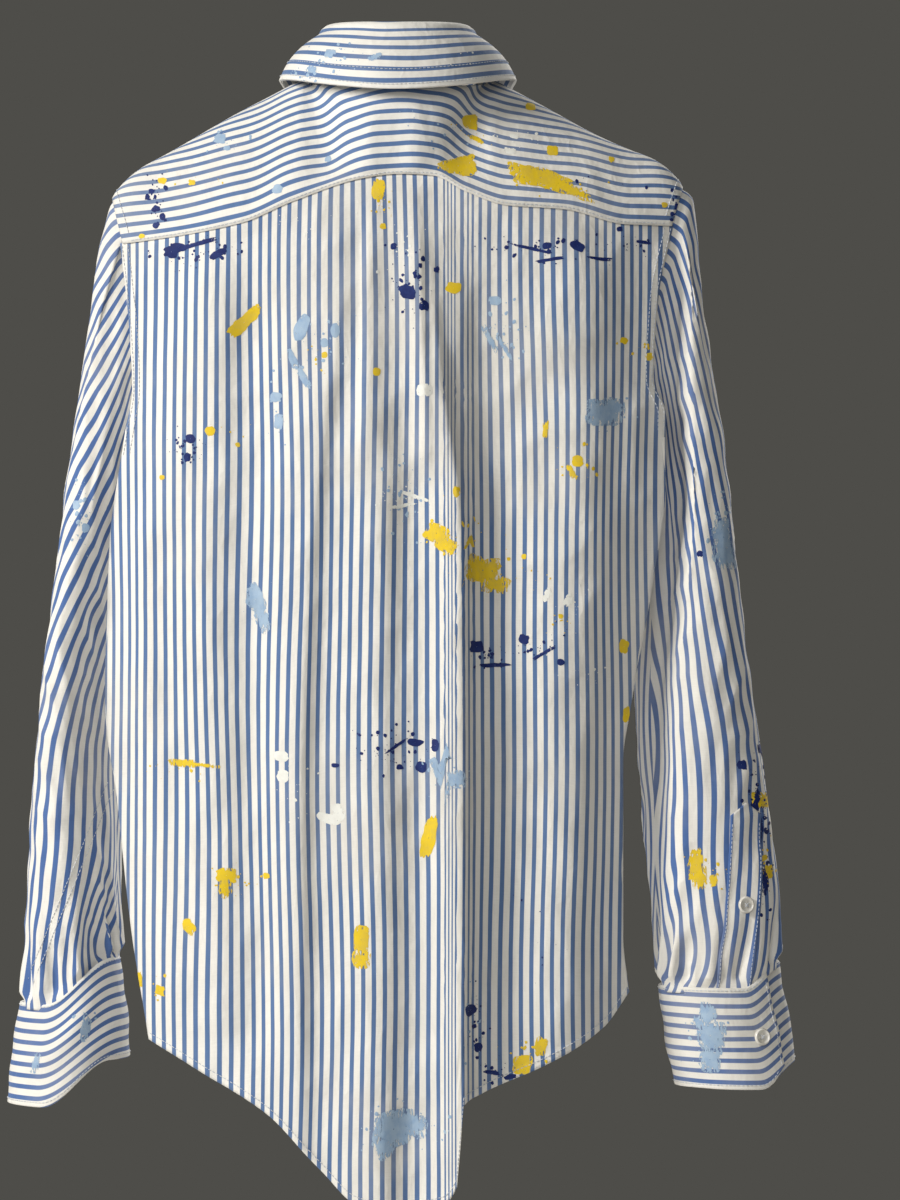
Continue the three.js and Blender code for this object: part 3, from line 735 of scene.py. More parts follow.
@dataclass
class Body:
    """The back, the yoke and the two fronts, with their folds."""

    tailor: Garment
    folds: tuple[Fold, ...] = (
        Fold(((14, -90), (12, -300), (10, -500), (13, -900)), 9.0, 24, 15, 200),
        Fold(((-15, -62), (-24, -150), (-32, -210), (-43, -300), (-44, -500), (-42, -940)),
             12.0, 22, 4.0, 240),
        Fold(((-52, -90), (-58, -250), (-64, -450), (-62, -720)), -9.0, 10, 28, 80),
        Fold(((35, -64), (41, -166), (53, -250), (60, -347), (64, -481), (64, -800)), 6.5, 26, 8, 190),
        Fold(((18, -60), (20, -160), (24, -270)), 3.0, 3, 9, 60),
        Fold(((-13, -60), (-17, -170), (-22, -280)), 3.0, 9, 3, 60),
        Fold(((-122, -80), (-126, -300), (-116, -500), (-112, -660)), 8.0, 26, 18, 60),
        Fold(((118, -90), (128, -300), (126, -500), (118, -650)), 5.5, 30, 20, 60),
        Fold(((92, -90), (95, -300), (92, -500), (88, -660)), -3.5, 14, 12, 60),
        Fold(((160, -240), (168, -330), (160, -470), (150, -620)), 4.0, 9, 12, 60),
        Fold(((172, -186), (163, -205), (156, -262)), 3.5, 3.5, 9, 16),
        Fold(((150, -150), (146, -220), (150, -300)), 2.5, 8, 14, 40),
        Fold(((-166, -196), (-158, -222), (-154, -270)), 3.0, 8, 3.5, 16),
    )
    soft: Crumple = Crumple(95 * MM, 0.85 * MM, 3.4, 11)
    fine: Crumple = Crumple(30 * MM, 0.30 * MM, 1.8, 12)
    sharp: Crumple = Crumple(44 * MM, 0.30 * MM, 1.8, 13, sharp=True)

    def back_cloth(self) -> Cloth:
        """The back: columns run between the side edges and rows from the yoke seam to the hem."""
        u, v = grid(0.37, 0.64)
        across = 1 - 2 * u
        hem = through(HEM, lerp(HEM[0][0] * MM, HEM[-1][0] * MM, u))
        z = lerp(through(YOKE_SEAM, across * SEAM_HALF) - 0.3 * MM, hem, v)
        x = lerp(through(LEFT_EDGE, z), -through(RIGHT_EDGE, z), u)
        inside = smooth(0, 0.08, u) * smooth(0, 0.08, 1 - u)
        relief = sum(fold.over(x, z) for fold in self.folds) * inside
        relief += (self.soft.over(x, z) * inside + self.fine.over(x, z) + self.sharp.over(x, z))
        y = back_depth(across, z) + relief * smooth(0, 14 * MM, v * 0.6)
        points = np.stack([x, y, z], axis=-1)
        folded = smooth(HEM_WIDTH, HEM_WIDTH - GRID / 2, lengths(points[::-1], 0)[::-1])
        seam = smooth(SEAM_WIDTH, SEAM_WIDTH - GRID / 2, 0.36 * np.minimum(u, 1 - u)) * (z > UNDERARM)
        points[..., 1] += 0.6 * MM * np.maximum(folded, seam)
        across_cloth = lengths(points, 1)
        middle = across_cloth[:, [points.shape[1] // 2]]
        taken_up = (across_cloth - middle + x)[len(x) // 2]
        taken_up = np.interp(x, x[len(x) // 2, ::-1], taken_up[::-1]) + 1.2 * self.soft.over(x + 1, z)
        return Cloth(points, np.stack([taken_up - x, lengths(points, 0)], axis=-1), flip=True)

    def yoke_cloth(self, drop: float) -> Cloth:
        """The yoke: from the back seam over the shoulders to the front seam, or up to the neck.

        Each column is a parabola from the back seam, through the shoulder's crest, to its far end.

        Args:
            drop: how far the surface lies under the yoke's outside, in metres.
        """
        u, v = grid(0.40, 0.115)
        across = 1 - 2 * u
        share, hand = np.abs(across), np.sign(across) + (across == 0)
        neck = 0.34
        turn = np.clip(share / neck, 0, 1) * math.radians(105)
        round_neck = ring_point(turn, neck_height(turn) - 0.5 * MM, 61.5, 57.5, 51.5)
        out = np.clip((share - neck) / (1 - neck), 0, 1)
        shoulder = 187 * MM
        end_x = np.where(share < neck, round_neck[..., 0], lerp(59.4 * MM, shoulder, out))
        end_y = np.where(share < neck, round_neck[..., 1], lerp(-21.3 * MM, -14 * MM, out))
        end_z = np.where(share < neck, round_neck[..., 2],
                         lerp(4.3 * MM, through(SHOULDER_LINE, np.array(shoulder)) - 10 * MM, out ** 1.12))
        seam_x = share * SEAM_HALF
        seam_z = through(YOKE_SEAM, across * SEAM_HALF) - 0.9 * MM
        seam_y = back_depth(across * 0.985, seam_z) + 0.9 * MM
        crest_x = lerp(seam_x, np.maximum(end_x, seam_x), 0.6)
        on_shoulder = smooth(0.05, neck, share)
        crest_x = lerp((seam_x + end_x) / 2, np.minimum(crest_x + 5 * MM * share, 0.189), on_shoulder)
        crest_y = lerp((seam_y + end_y) / 2 + 2 * MM, 7 * MM, on_shoulder ** 2)
        crest_z = lerp((seam_z + end_z) / 2 + 4 * MM, through(SHOULDER_LINE, crest_x) + 0.5 * MM, on_shoulder)
        higher = 7 * MM * smooth(0.12, 0.19, -across * 0.19)
        crest_z, end_z = crest_z + higher, end_z + higher * 0.5
        seam, crest, end = (np.stack(parts, axis=-1) for parts in (
            (seam_x, seam_y, seam_z), (crest_x, crest_y, crest_z), (end_x, end_y, end_z)))
        at = 0.6
        bend = (crest - (1 - at) ** 2 * seam - at * at * end) / (2 * at * (1 - at))
        t = v[..., None]
        points = (1 - t) ** 2 * seam + 2 * t * (1 - t) * bend + t * t * end
        points[..., 0] *= hand
        x = points[..., 0]
        wave = sum(rise * np.exp(-(((x - at * MM) / (wide * MM)) ** 2)) for at, wide, rise in (
            (70, 15, 2.6), (44, 9, -1.8), (18, 9, 2.2), (-12, 8, 1.8), (-38, 10, -1.4), (112, 16, 1.8),
            (-80, 18, 1.2), (-125, 18, 1.2))) * MM
        calm = smooth(0, 0.10, v) * smooth(0.02, 0.4, 1 - v)
        points[..., 1] += wave * calm + self.fine.over(x, points[..., 2]) * calm * 0.8
        down = lengths(points, 0)
        down += 0.7 * MM * np.sin(x / (21 * MM)) * smooth(0, 25 * MM, down) - wave * 0.5 * calm
        flat = np.stack([down + 5.4 * MM, lengths(points, 1)], axis=-1)
        kept = slice(1 if drop else 0, None)
        return Cloth(points[kept], flat[kept]).lifted(-drop)

    def front_cloth(self, side: str) -> Cloth:
        """A front: columns run from the armhole and side seam to the front edge, rows down to the hem.

        Above the split the rows come from the shoulder seam and the neck, below it they lie on an
        arch between the side seam and the front edge, which drifts back towards the hem.
        """
        hand = HAND[side]
        over = (0.0 if side == "left" else 7.0) * MM
        drift = (22 if side == "left" else 40) * MM
        low, split = (corner.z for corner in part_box(f"{side}_front"))
        u, v = grid(0.19, 0.60)
        seam_share = 0.6
        out = 1 - np.clip(u / seam_share, 0, 1)
        turn = lerp(math.radians(105), math.pi + 0.25, np.clip((u - seam_share) / (1 - seam_share), 0, 1))
        round_neck = ring_point(turn, neck_height(turn) - 0.6 * MM, 60.5, 57, 50.5)
        top_x = np.where(u < seam_share, lerp(58.6 * MM, 186 * MM, out), round_neck[..., 0])
        top_y = np.where(u < seam_share, lerp(-20.6 * MM, -13.2 * MM, out), round_neck[..., 1])
        top_z = np.where(u < seam_share, lerp(4.6 * MM, -77 * MM, out ** 1.12), round_neck[..., 2])
        chest = 0.12
        share_down = np.clip(v / chest, 0, 1)
        hem = low + 32 * MM * (1 - u) ** 1.5
        z = np.where(v < chest, lerp(top_z, split, share_down), lerp(split, hem, (v - chest) / (1 - chest)))
        line = turning_line(side, z)
        armhole = through(FRONT_ARMHOLE, z)
        width = np.where(z > UNDERARM, armhole, lerp(line, armhole, smooth(UNDERARM - 0.03, UNDERARM, z)))
        below = np.clip((split - z) / (split - low), 0, 1)
        x = lerp(width, -15 * MM + drift * below, u)
        share = np.clip(1 - x / width, 0, 1)
        side_y = lerp(8 * MM, -12 * MM, smooth(UNDERARM, -0.15, z))
        arch = np.sin(share * math.pi / 2) ** 0.8
        y = lerp(side_y, -52 * MM - over * smooth(0.45, 0.95, u), arch)
        kept = smooth(0.0, 1.0, share_down)
        x, y = lerp(top_x, x, kept), lerp(top_y - over * smooth(0.45, 0.95, u), y, kept)
        folds = (Fold(((60, -120), (66, -300), (70, -610)), 4.0, 16, 14, 60),
                 Fold(((112, -150), (118, -300), (112, -600)), -3.5, 16, 18, 60),
                 Fold(((28, -150), (34, -350), (44, -600)), -2.5, 12, 12, 60))
        relief = sum(fold.over(x, z) for fold in folds) * smooth(0, 0.1, u) * smooth(0.02, 0.2, 1 - u)
        calm = smooth(0, 0.1, u) * smooth(0.04, 0.16, 1 - u)
        seeded = self.soft.over(x + hand, z) * calm * 0.8
        y = y - relief - seeded + self.fine.over(x + hand, z) * 0.7 * calm
        points = np.stack([hand * x, y, z], axis=-1)
        for _ in range(40):
            points[1:-1, :, 1] = (points[:-2, :, 1] + 2 * points[1:-1, :, 1] + points[2:, :, 1]) / 4
        across = lengths(points, 1)
        taken_up = steady((across - across[:, [-1]] + x)[z[:, 0] < split])[[0]]
        flat = np.stack([np.broadcast_to(taken_up, x.shape) - x, lengths(points, 0)], axis=-1)
        return Cloth(points, flat, flip=side == "right")

    def side_cloth(self, side: str) -> Cloth:
        """The strip from the side seam in to the front's turning line, tucked a little under the front."""
        hand = HAND[side]
        edge, end = (LEFT_EDGE, -622 * MM) if side == "left" else (RIGHT_EDGE, -592 * MM)
        u, v = grid(0.03, 0.40)
        z = lerp(UNDERARM - 2 * MM, lerp(end, -590 * MM, u), v)
        tucked = turning_line(side, z) - 7 * MM
        x = lerp(through(edge, z) - 0.4 * MM, tucked, u)
        y = lerp(BACK_SIDE_Y - 0.6 * MM, -1 * MM, u ** 1.4) + 1.5 * MM * np.sin(u * math.pi)
        points = np.stack([hand * x, y, z], axis=-1)
        flat = np.stack([lengths(points, 1), lengths(points, 0)], axis=-1)
        return Cloth(points, flat, flip=side == "right")

    def band_cloth(self, front: Cloth, width: float, lift: float) -> Cloth:
        """A band along a front's edge: the last stretch of every row, lifted off the front."""
        across = lengths(front.points, 1)
        rows, columns = np.meshgrid(np.arange(front.points.shape[0], dtype=float), np.linspace(0, 1, 12),
                                    indexing="ij")
        start = np.array([np.interp(row[-1] - width, row, np.arange(len(row))) for row in across])
        at = lerp(start[:, None], front.points.shape[1] - 1.0, columns)
        points = front.sample(rows, at, lift * np.ones_like(rows))
        flat = np.stack([lerp(0, width, columns) + 2.1 * MM, lengths(points, 0)], axis=-1)
        return Cloth(points, flat, flip=front.flip)

    def build(self) -> None:
        """Cuts every piece of the body."""
        cut, finish = self.tailor.cut, self.tailor.wardrobe
        cut("back", self.back_cloth(), Hang(TORSO), ["back_panel"], finish.cotton)
        cut("yoke_cloth", self.yoke_cloth(0.0), Hang(TORSO), ["yoke"], finish.cotton,
            rests_on=["yoke_inside"])
        cut("yoke_inside", self.yoke_cloth(1.3 * MM), Hang(TORSO), ["yoke_lining"], finish.inner_cotton_shaded,
            rests_on=["yoke_cloth"])
        for side, band, nodes in (("left", "button_band", ["button_band", "button_band_top"]),
                                  ("right", "placket", ["placket", "placket_top"])):
            front = self.front_cloth(side)
            hang = front_hang(side)
            cut(f"{side}_front_cloth", front, hang, [f"{side}_front", f"{side}_chest"], finish.cotton)
            cut(f"{band}_cloth", self.band_cloth(front, BAND, 0.6 * MM), hang, nodes, finish.cotton)
            cut(f"{side}_side", self.side_cloth(side), Hang(TORSO), [], finish.cotton)


@dataclass
class Collar:
    """The turned-down collar: a stand round the neck and a leaf folded over it."""

    tailor: Garment

    def stand_cloth(self) -> Cloth:
        """The stand: from the neck seam up to the roll, its ends overlapping at the front."""
        overlap = 0.23
        u, v = grid(0.40, 0.036, 1.8 * MM)
        turn = lerp(-math.pi - overlap, math.pi + overlap, u)
        grow = 4.6 * (0.5 - u) * smooth(math.pi / 2, math.pi, np.abs(turn))
        base_z = neck_height(turn) + 0.8 * MM
        depth = np.where(np.abs(turn) < math.pi / 2, lerp(56, 49, v), lerp(50, 45, v)) + grow
        x = (lerp(60, 44, v) + grow) * MM * np.sin(turn)
        y = NECK_Y + depth * MM * np.cos(turn)
        points = np.stack([x, y, lerp(base_z, roll_height(turn), v)], axis=-1)
        flat = np.stack([lengths(points, 0), lengths(points, 1)], axis=-1)
        return Cloth(points, flat, flip=True).lifted(0.6 * MM)

    def leaf_cloth(self) -> Cloth:
        """The leaf: over the roll and down to its edge, longest at the two points.

        Each column runs through the roll's inside, its top, its outside and the leaf's edge.
        """
        u, v = grid(0.46, 0.07, 1.7 * MM)
        end = math.pi - 0.2
        turn = lerp(-end, end, u)
        c = np.cos(turn)
        edge_z = np.where(c > 0, lerp(9, -3, c * c), 9 - 104 * (1 - np.abs(np.sin(turn)))) * MM
        edge = ring_point(turn, edge_z, 77, 70, 72)
        roll, radius, inner = 0.16, 4.2, 44
        angle = np.clip(v / roll, 0, 1) * math.pi
        reach = inner + radius * (1 - np.cos(angle)) / 2 * 1.6
        depth = np.where(np.abs(turn) < math.pi / 2, 49, 45) + reach - inner
        rolled = np.stack([reach * MM * np.sin(turn), NECK_Y + depth * MM * np.cos(turn),
                           roll_height(turn) + radius * MM * np.sin(angle) - 0.5 * MM], axis=-1)
        down = np.clip((v - roll) / (1 - roll), 0, 1)[..., None]
        bow = 3.4 * MM * np.sin(down * math.pi)
        points = rolled * (1 - down) + edge * down
        points += bow * np.stack([np.sin(turn), np.cos(turn), 0.6 + 0 * turn], axis=-1)
        ripple = Crumple(38 * MM, 0.5 * MM, 1.0, 21).over(turn * 60 * MM, v * 70 * MM)
        points[..., 1] += ripple * np.cos(turn) * down[..., 0]
        across = lengths(points, 0)
        flat = np.stack([across[[-1]] - across + 5.6 * MM, lengths(points, 1)], axis=-1)
        return Cloth(points, flat, flip=False).lifted(2.4 * MM)

    def build(self) -> None:
        """Cuts the stand and the leaf."""
        cut, finish = self.tailor.cut, self.tailor.wardrobe
        cut("stand", self.stand_cloth(), Hang(TORSO), ["collar_stand", "collar_stand_lining"], finish.cotton,
            thickness=2.2 * MM)
        cut("collar", self.leaf_cloth(), Hang(TORSO), ["collar_leaf", "collar_interlining", "undercollar"],
            finish.cotton, thickness=2.6 * MM, rests_on=["stand"])


# ---- sleeves and cuffs -------------------------------------------------------------------------
@dataclass(frozen=True)
class SleeveShape:
    """One sleeve's form: its sections, armhole, wrist and the way its grain leans.

    sections: (height, centre out, centre y, short half, long half, turn in degrees).
    lean: (height, lean of the stripes in degrees, outwards as they go down).
    head: how far the sleeve's head stands out at the shoulder.
    rise: how far the cuff's seam climbs, and between which distances outwards from the wrist's middle.
    join, slit: where the cuff buttons and where the slit is, in degrees from outside towards the back.
    """

    side: str
    hand: float
    sections: tuple[tuple[float, ...], ...]
    lean: Stations
    head: float
    cuff_seam: float
    cuff_lean: float
    cuff_flare: float
    rise: tuple[float, float, float]
    join: float
    slit: float

    def seam_rise(self, out: Array) -> Array:
        """How far the cuff's seam climbs at a distance outwards from the wrist's middle, in metres."""
        height, start, end = (part * MM for part in self.rise)
        t = np.clip((out - start) / (end - start), 0.0, 1.0)
        return height * t * t * (3 - 2 * t)


LEFT_SLEEVE = SleeveShape(
    "left", 1.0,
    ((-238, 195, -20, 16, 56, 18), (-335, 204, -19, 19, 55, 18), (-450, 213, -17, 25, 50, 12),
     (-545, 216, -14, 29, 44, 6), (-601, 217, -12, 31, 37, 0)),
    ((-60, 22), (-200, 15), (-400, 9), (-600, 7)),
    head=2, cuff_seam=-601, cuff_lean=1, cuff_flare=8, rise=(30, 16, -30), join=-100, slit=-75)
RIGHT_SLEEVE = SleeveShape(
    "right", -1.0,
    ((-238, 192, -20, 18, 54, 20), (-335, 194, -19, 28, 52, 24), (-450, 203, -18, 36, 46, 24),
     (-545, 212, -15, 40, 42, 10), (-590, 214, -12, 38, 34, 0)),
    ((-60, 8), (-200, 2), (-400, 1), (-600, 2)),
    head=7, cuff_seam=-590, cuff_lean=12, cuff_flare=1, rise=(16, 14, 40), join=62, slit=78)
CUFF_HEIGHT = 67.0
FLATNESS = 0.6  # power of the sine that rounds a sleeve; under 1 its back and front are flatter
SLEEVE_GRAIN = 0.8  # the sleeves' stripes stand a little wider apart than the body's
TUCK = 5.0  # how far a sleeve's end goes into its cuff
RISE_START = -470.0
SLEEVE_AROUND = 0.24  # metres of cloth that its grid is made for
STRIP_LENGTH = 128 * MM  # the placket strip over each sleeve's slit
STRIP_HALF = 12 * MM


@dataclass
class Sleeve:
    """One sleeve with its cuff and placket."""

    tailor: Garment
    shape: SleeveShape
    hang: Hang = field(init=False)

    def __post_init__(self) -> None:
        """Works out how the sleeve bends at the armhole."""
        self.hang = sleeve_hang(self.shape.side)

    def section(self, angle: Array, z: Array, grow: Array | float = 0.0) -> Array:
        """Points on the sleeve's own sections: turned ellipses whose centre and halves follow the height.

        Args:
            angle: from the outside (0) through the back (90 degrees), in radians.
            z: heights, in metres.
            grow: extra half width, in metres.
        """
        shape = self.shape
        cx, cy, short, long_ = (through([(s[0], s[k]) for s in shape.sections], z) for k in (1, 2, 3, 4))
        turn = through([(s[0], s[5]) for s in shape.sections], z) / MM * math.pi / 180
        a = (short + grow) * np.cos(angle)
        b = (long_ + grow) * np.sign(np.sin(angle)) * np.abs(np.sin(angle)) ** FLATNESS
        out = a * np.cos(turn) + b * np.sin(turn)
        tilt = smooth(-RISE_START * MM, -shape.cuff_seam * MM, -z)
        y = cy + b * np.cos(turn) - a * np.sin(turn)
        return np.stack([cx + out, y, z + tilt * shape.seam_rise(out)], axis=-1)

    def gather(self, angle: Array, z: Array) -> Array:
        """The fullness at the wrist: pleats that die away upwards from the cuff seam."""
        above = z - self.shape.cuff_seam * MM
        near = np.exp(-((above / (26 * MM)) ** 2)) + 0.4 * np.exp(-above / (70 * MM))
        at_seam = smooth(-1 * MM, 7 * MM, above)
        above = np.maximum(above, 0)
        pleats = np.cos(11 * angle + 3 * np.sin(2 * angle)) + 0.5 * np.cos(17 * angle + 1)
        return 2.6 * MM * near * pleats * at_seam

    def recess(self, points: Array, angle: Array) -> Array:
        """The right sleeve's hollow: its back half drops forwards inside a bright fold edge."""
        z = points[..., 2]
        edge = through(((-100, 187), (-142, 194), (-283, 194), (-309, 191), (-397, 184), (-467, 181),
                        (-520, 177), (-600, 168)), z)
        across = (edge - points[..., 0]) / MM
        inside = 0.7 * np.clip(across / 8, 0, 1) + 0.3 * np.clip((across - 8) / 14, 0, 1)
        strength = smooth(-0.585, -0.50, z) * lerp(1.0, 0.5, smooth(-0.26, -0.18, z))
        return 46 * MM * inside * strength * np.clip(np.sin(angle), 0, 1) ** 0.5

    def dip(self, points: Array, angle: Array) -> Array:
        """The left sleeve's shallow hollow above its cuff, inside a soft fold."""
        x, z = points[..., 0], points[..., 2]
        edge = through(((-480, 196), (-520, 209), (-560, 208), (-600, 207)), z)
        lower = smooth(0.49, 0.56, -z) * np.clip(np.sin(angle), 0, 1)
        return 11 * MM * lower * smooth(-1 * MM, 6 * MM, edge - x) * (1 - smooth(0.58, 0.60, -z))

    def armhole(self, columns: int) -> Array:
        """The body's own edges as a loop: from the underarm up the front and down the back.

        Args:
            columns: how many points the loop has, half of them on either side of the shoulder's top.

        Returns:
            The loop as if on the left, a little inside the body's cloth.
        """
        pieces, column = self.tailor.pieces, 0 if self.shape.side == "left" else -1
        front = pieces[f"{self.shape.side}_front_cloth"].cloth.points[::-1, 0]
        back = pieces["back"].cloth.points[:, column]
        yoke = pieces["yoke_cloth"].cloth.points[::-1, column]
        run = np.concatenate([front[front[:, 2] > UNDERARM], yoke, back[back[:, 2] > UNDERARM]])
        run = run * (self.shape.hand, 1, 1)
        bottom = (run[:1] + run[-1:]) / 2 - (0, 0, 5 * MM)
        run = np.concatenate([bottom, run, bottom])
        run = (run - (0, 3 * MM, 0)) * (1, 0.9, 1) + (-1.4 * MM, 3 * MM, -1.2 * MM)
        top = int(np.argmax(run[:, 2]))
        travelled = np.concatenate([[0.0], np.cumsum(np.linalg.norm(np.diff(run, axis=0), axis=1))])
        key = np.where(travelled < travelled[top], travelled / travelled[top],
                       1 + (travelled - travelled[top]) / (travelled[-1] - travelled[top]))
        at = np.linspace(0, 2, columns)
        return np.stack([np.interp(at, key, run[:, k]) for k in range(3)], axis=-1)

    def cloth(self) -> Cloth:
        """The sleeve: rings that start as the armhole's loop and turn into the sleeve's own sections."""
        shape = self.shape
        u, v = grid(SLEEVE_AROUND, 0.50)
        angle = lerp(-math.pi, math.pi, u)
        loop = self.armhole(u.shape[1])[None]
        z = lerp(-0.236, (shape.cuff_seam - TUCK) * MM, v)
        side_fold = 1.0 * MM * np.sin(3 * angle + 5 * v + 1.0) * smooth(0, 0.3, v)
        ring = self.section(angle, z, side_fold + self.gather(angle, z))
        joined = smooth(0.0, 0.40, v)[..., None]
        points = lerp(loop, ring, joined)
        head = shape.head * smooth(0, 0.05, v) * (1 - smooth(0.06, 0.22, v))
        puff = 4.5 * np.sin(math.pi * smooth(0, 0.42, v)) + head
        points[..., 0] += puff * MM * np.clip(np.cos(angle), 0, 1)
        if shape.side == "right":
            points[..., 1] -= self.recess(points, angle) * smooth(0.0, 0.12, v)
        else:
            points[..., 1] -= self.dip(points, angle)
        around, down = angle * 40 * MM, points[..., 2]
        body = smooth(0.02, 0.12, v) * smooth(0.0, 0.04, 1 - v)
        crumple = (Crumple(85 * MM, 0.9 * MM, 3.0, 31 + int(shape.hand)).over(around, down)
                   + Crumple(26 * MM, 0.3 * MM, 1.6, 41 + int(shape.hand)).over(around, down)
                   + Crumple(36 * MM, 0.35 * MM, 1.6, 51, sharp=True).over(around, down)) * body
        seamless = smooth(0, 0.06, u) * smooth(0, 0.06, 1 - u)
        made = Cloth(points * (shape.hand, 1, 1), np.zeros(points.shape[:2] + (2,)), ring=True,
                     flip=shape.side == "left")
        points = made.points + made.normals() * (crumple * seamless)[..., None]
        points[:, -1] = points[:, 0]
        across = lengths(points, 1)
        middle = [points.shape[1] // 2]
        outer = across[:, middle]
        fall = lengths(points, 0)[:, middle]
        lean = np.tan(np.radians(through(shape.lean, points[:, middle, 2]) / MM))
        steps = np.diff(fall, axis=0) * (lean[1:] + lean[:-1]) / 2
        shift = np.cumsum(np.pad(steps, [(1, 0), (0, 0)]), axis=0)
        flat = np.stack([SLEEVE_GRAIN * steady(across - outer, 6) + shift,
                         np.broadcast_to(fall, across.shape)], axis=-1)
        return Cloth(points, flat, ring=True, flip=made.flip)

    def cuff_cloth(self) -> Cloth:
        """The cuff: a band wound once round the wrist and a lap further, sloping with its seam."""
        shape = self.shape
        _, cx, cy, short, long_, _ = shape.sections[-1]
        lap = 20 / long_
        u, v = grid(0.235, CUFF_HEIGHT * MM, 1.9 * MM)
        angle = math.radians(shape.join) + lerp(-lap / 2, 2 * math.pi + lap / 2, u)
        bulge = 1.2 * np.sin(math.pi * v) + 0.5 * np.sin(5 * angle)
        grow = 5 * (0.5 - u) + shape.cuff_flare * v + 1.8 + bulge
        out = (short + grow) * np.cos(angle)
        corner = 4.0 * (1 - smooth(0, 0.035, u) * smooth(0, 0.035, 1 - u)) * v ** 6
        z = shape.cuff_seam - 0.8 - (CUFF_HEIGHT - corner) * v + shape.seam_rise(out * MM) / MM
        x = shape.hand * (cx + shape.cuff_lean * v + out)
        points = np.stack([x, cy + (long_ + grow) * np.sin(angle), z], axis=-1) * MM
        made = Cloth(points, np.zeros(points.shape[:2] + (2,)), flip=shape.side == "left")
        dent = Crumple(34 * MM, 0.5 * MM, 1.0, 61).over(angle * 35 * MM, v * 67 * MM)
        points = points + made.normals() * dent[..., None]
        flat = np.stack([lengths(points, 0) + (5.4 + 3 * u) * MM, lengths(points, 1)], axis=-1)
        return Cloth(points, flat, flip=made.flip)

    def placket_cloth(self, sleeve: Cloth) -> Cloth:
        """The strip over the sleeve's slit: a stretch of the sleeve itself, lifted, with a pointed top."""
        rows, columns = sleeve.points.shape[:2]
        fall = lengths(sleeve.points, 0)
        column = (self.shape.slit + 180) / 360 * (columns - 1)
        length = fall[-1, round(column)]
        first = np.interp(length - STRIP_LENGTH, fall[:, round(column)], np.arange(rows))
        u, v = grid(2 * STRIP_HALF, STRIP_LENGTH, 1.6 * MM)
        pointed = np.abs(u - 0.5) * 2 * 9 * MM / STRIP_LENGTH
        along = np.clip(v + pointed * (1 - v) ** 4, 0, 1)
        width = STRIP_HALF / (SLEEVE_AROUND / (columns - 1))
        points = sleeve.sample(lerp(first, rows - 1.5, along), column + (u - 0.5) * 2 * width,
                               1.3 * MM * np.ones_like(u))
        flat = np.stack([lerp(0.0, 2 * STRIP_HALF, u) + 2 * MM, lengths(points, 0)], axis=-1)
        return Cloth(points, flat, flip=sleeve.flip)

    def build(self) -> None:
        """Cuts the sleeve, its placket strip and its cuff."""
        side, cut, finish = self.shape.side, self.tailor.cut, self.tailor.wardrobe
        sleeve = self.cloth()
        cut(f"{side}_sleeve_cloth", sleeve, self.hang, [f"{side}_sleeve", f"{side}_sleeve_head"],
            finish.sleeve_cotton_shaded, rests_on=["back"])
        rides = Hang(f"{side}_sleeve")
        cut(f"{side}_sleeve_strip", self.placket_cloth(sleeve), rides, [f"{side}_sleeve_placket"],
            finish.sleeve_cotton_shaded, rests_on=[f"{side}_sleeve_cloth"])
        cut(f"{side}_cuff_cloth", self.cuff_cloth(), rides,
            [f"{side}_cuff", f"{side}_cuff_lining", f"{side}_cuff_interlining"], finish.sleeve_cotton_shaded,
            thickness=2.8 * MM, rests_on=[f"{side}_sleeve_cloth"])


# ---- sewing ------------------------------------------------------------------------------------
Path = tuple[Array, Array]


def inset(cloth: Cloth, edge: Edge, distance: float, part: tuple[float, float] = (0.0, 1.0)) -> Path:
    """The line that runs inside a cloth's edge at a distance from it.

    Args:
        cloth: the cloth.
        edge: which of its edges.
        distance: how far inside, in metres of cloth.
        part: the stretch of the line to keep, as shares of it.

    Returns:
        Fractional rows and columns along the line.
    """
    crossing = edge in (Edge.TOP, Edge.BOTTOM)
    travelled = lengths(cloth.points, 0).T if crossing else lengths(cloth.points, 1)
    far = edge in (Edge.BOTTOM, Edge.RIGHT)
    index = np.arange(travelled.shape[1])
    inside = np.array([np.interp(line[-1] - distance if far else distance, line, index)
                       for line in travelled])
    along = np.arange(len(inside), dtype=float)
    low, high = (round(share * (len(inside) - 1)) for share in part)
    kept = slice(low, high + 1)
    return (inside[kept], along[kept]) if crossing else (along[kept], inside[kept])


def place_copies(template: Array, faces: Array, centres: Array, axes: Array) -> tuple[Array, Array]:
    """Copies of one small shape: template points times each copy's three axes, at its centre."""
    points = centres[:, None] + np.einsum("vk,nkc->nvc", template, axes)
    shifts = np.arange(len(centres))[:, None, None] * len(template)
    return points.reshape(-1, 3), (faces[None] + shifts).reshape(-1, faces.shape[1])


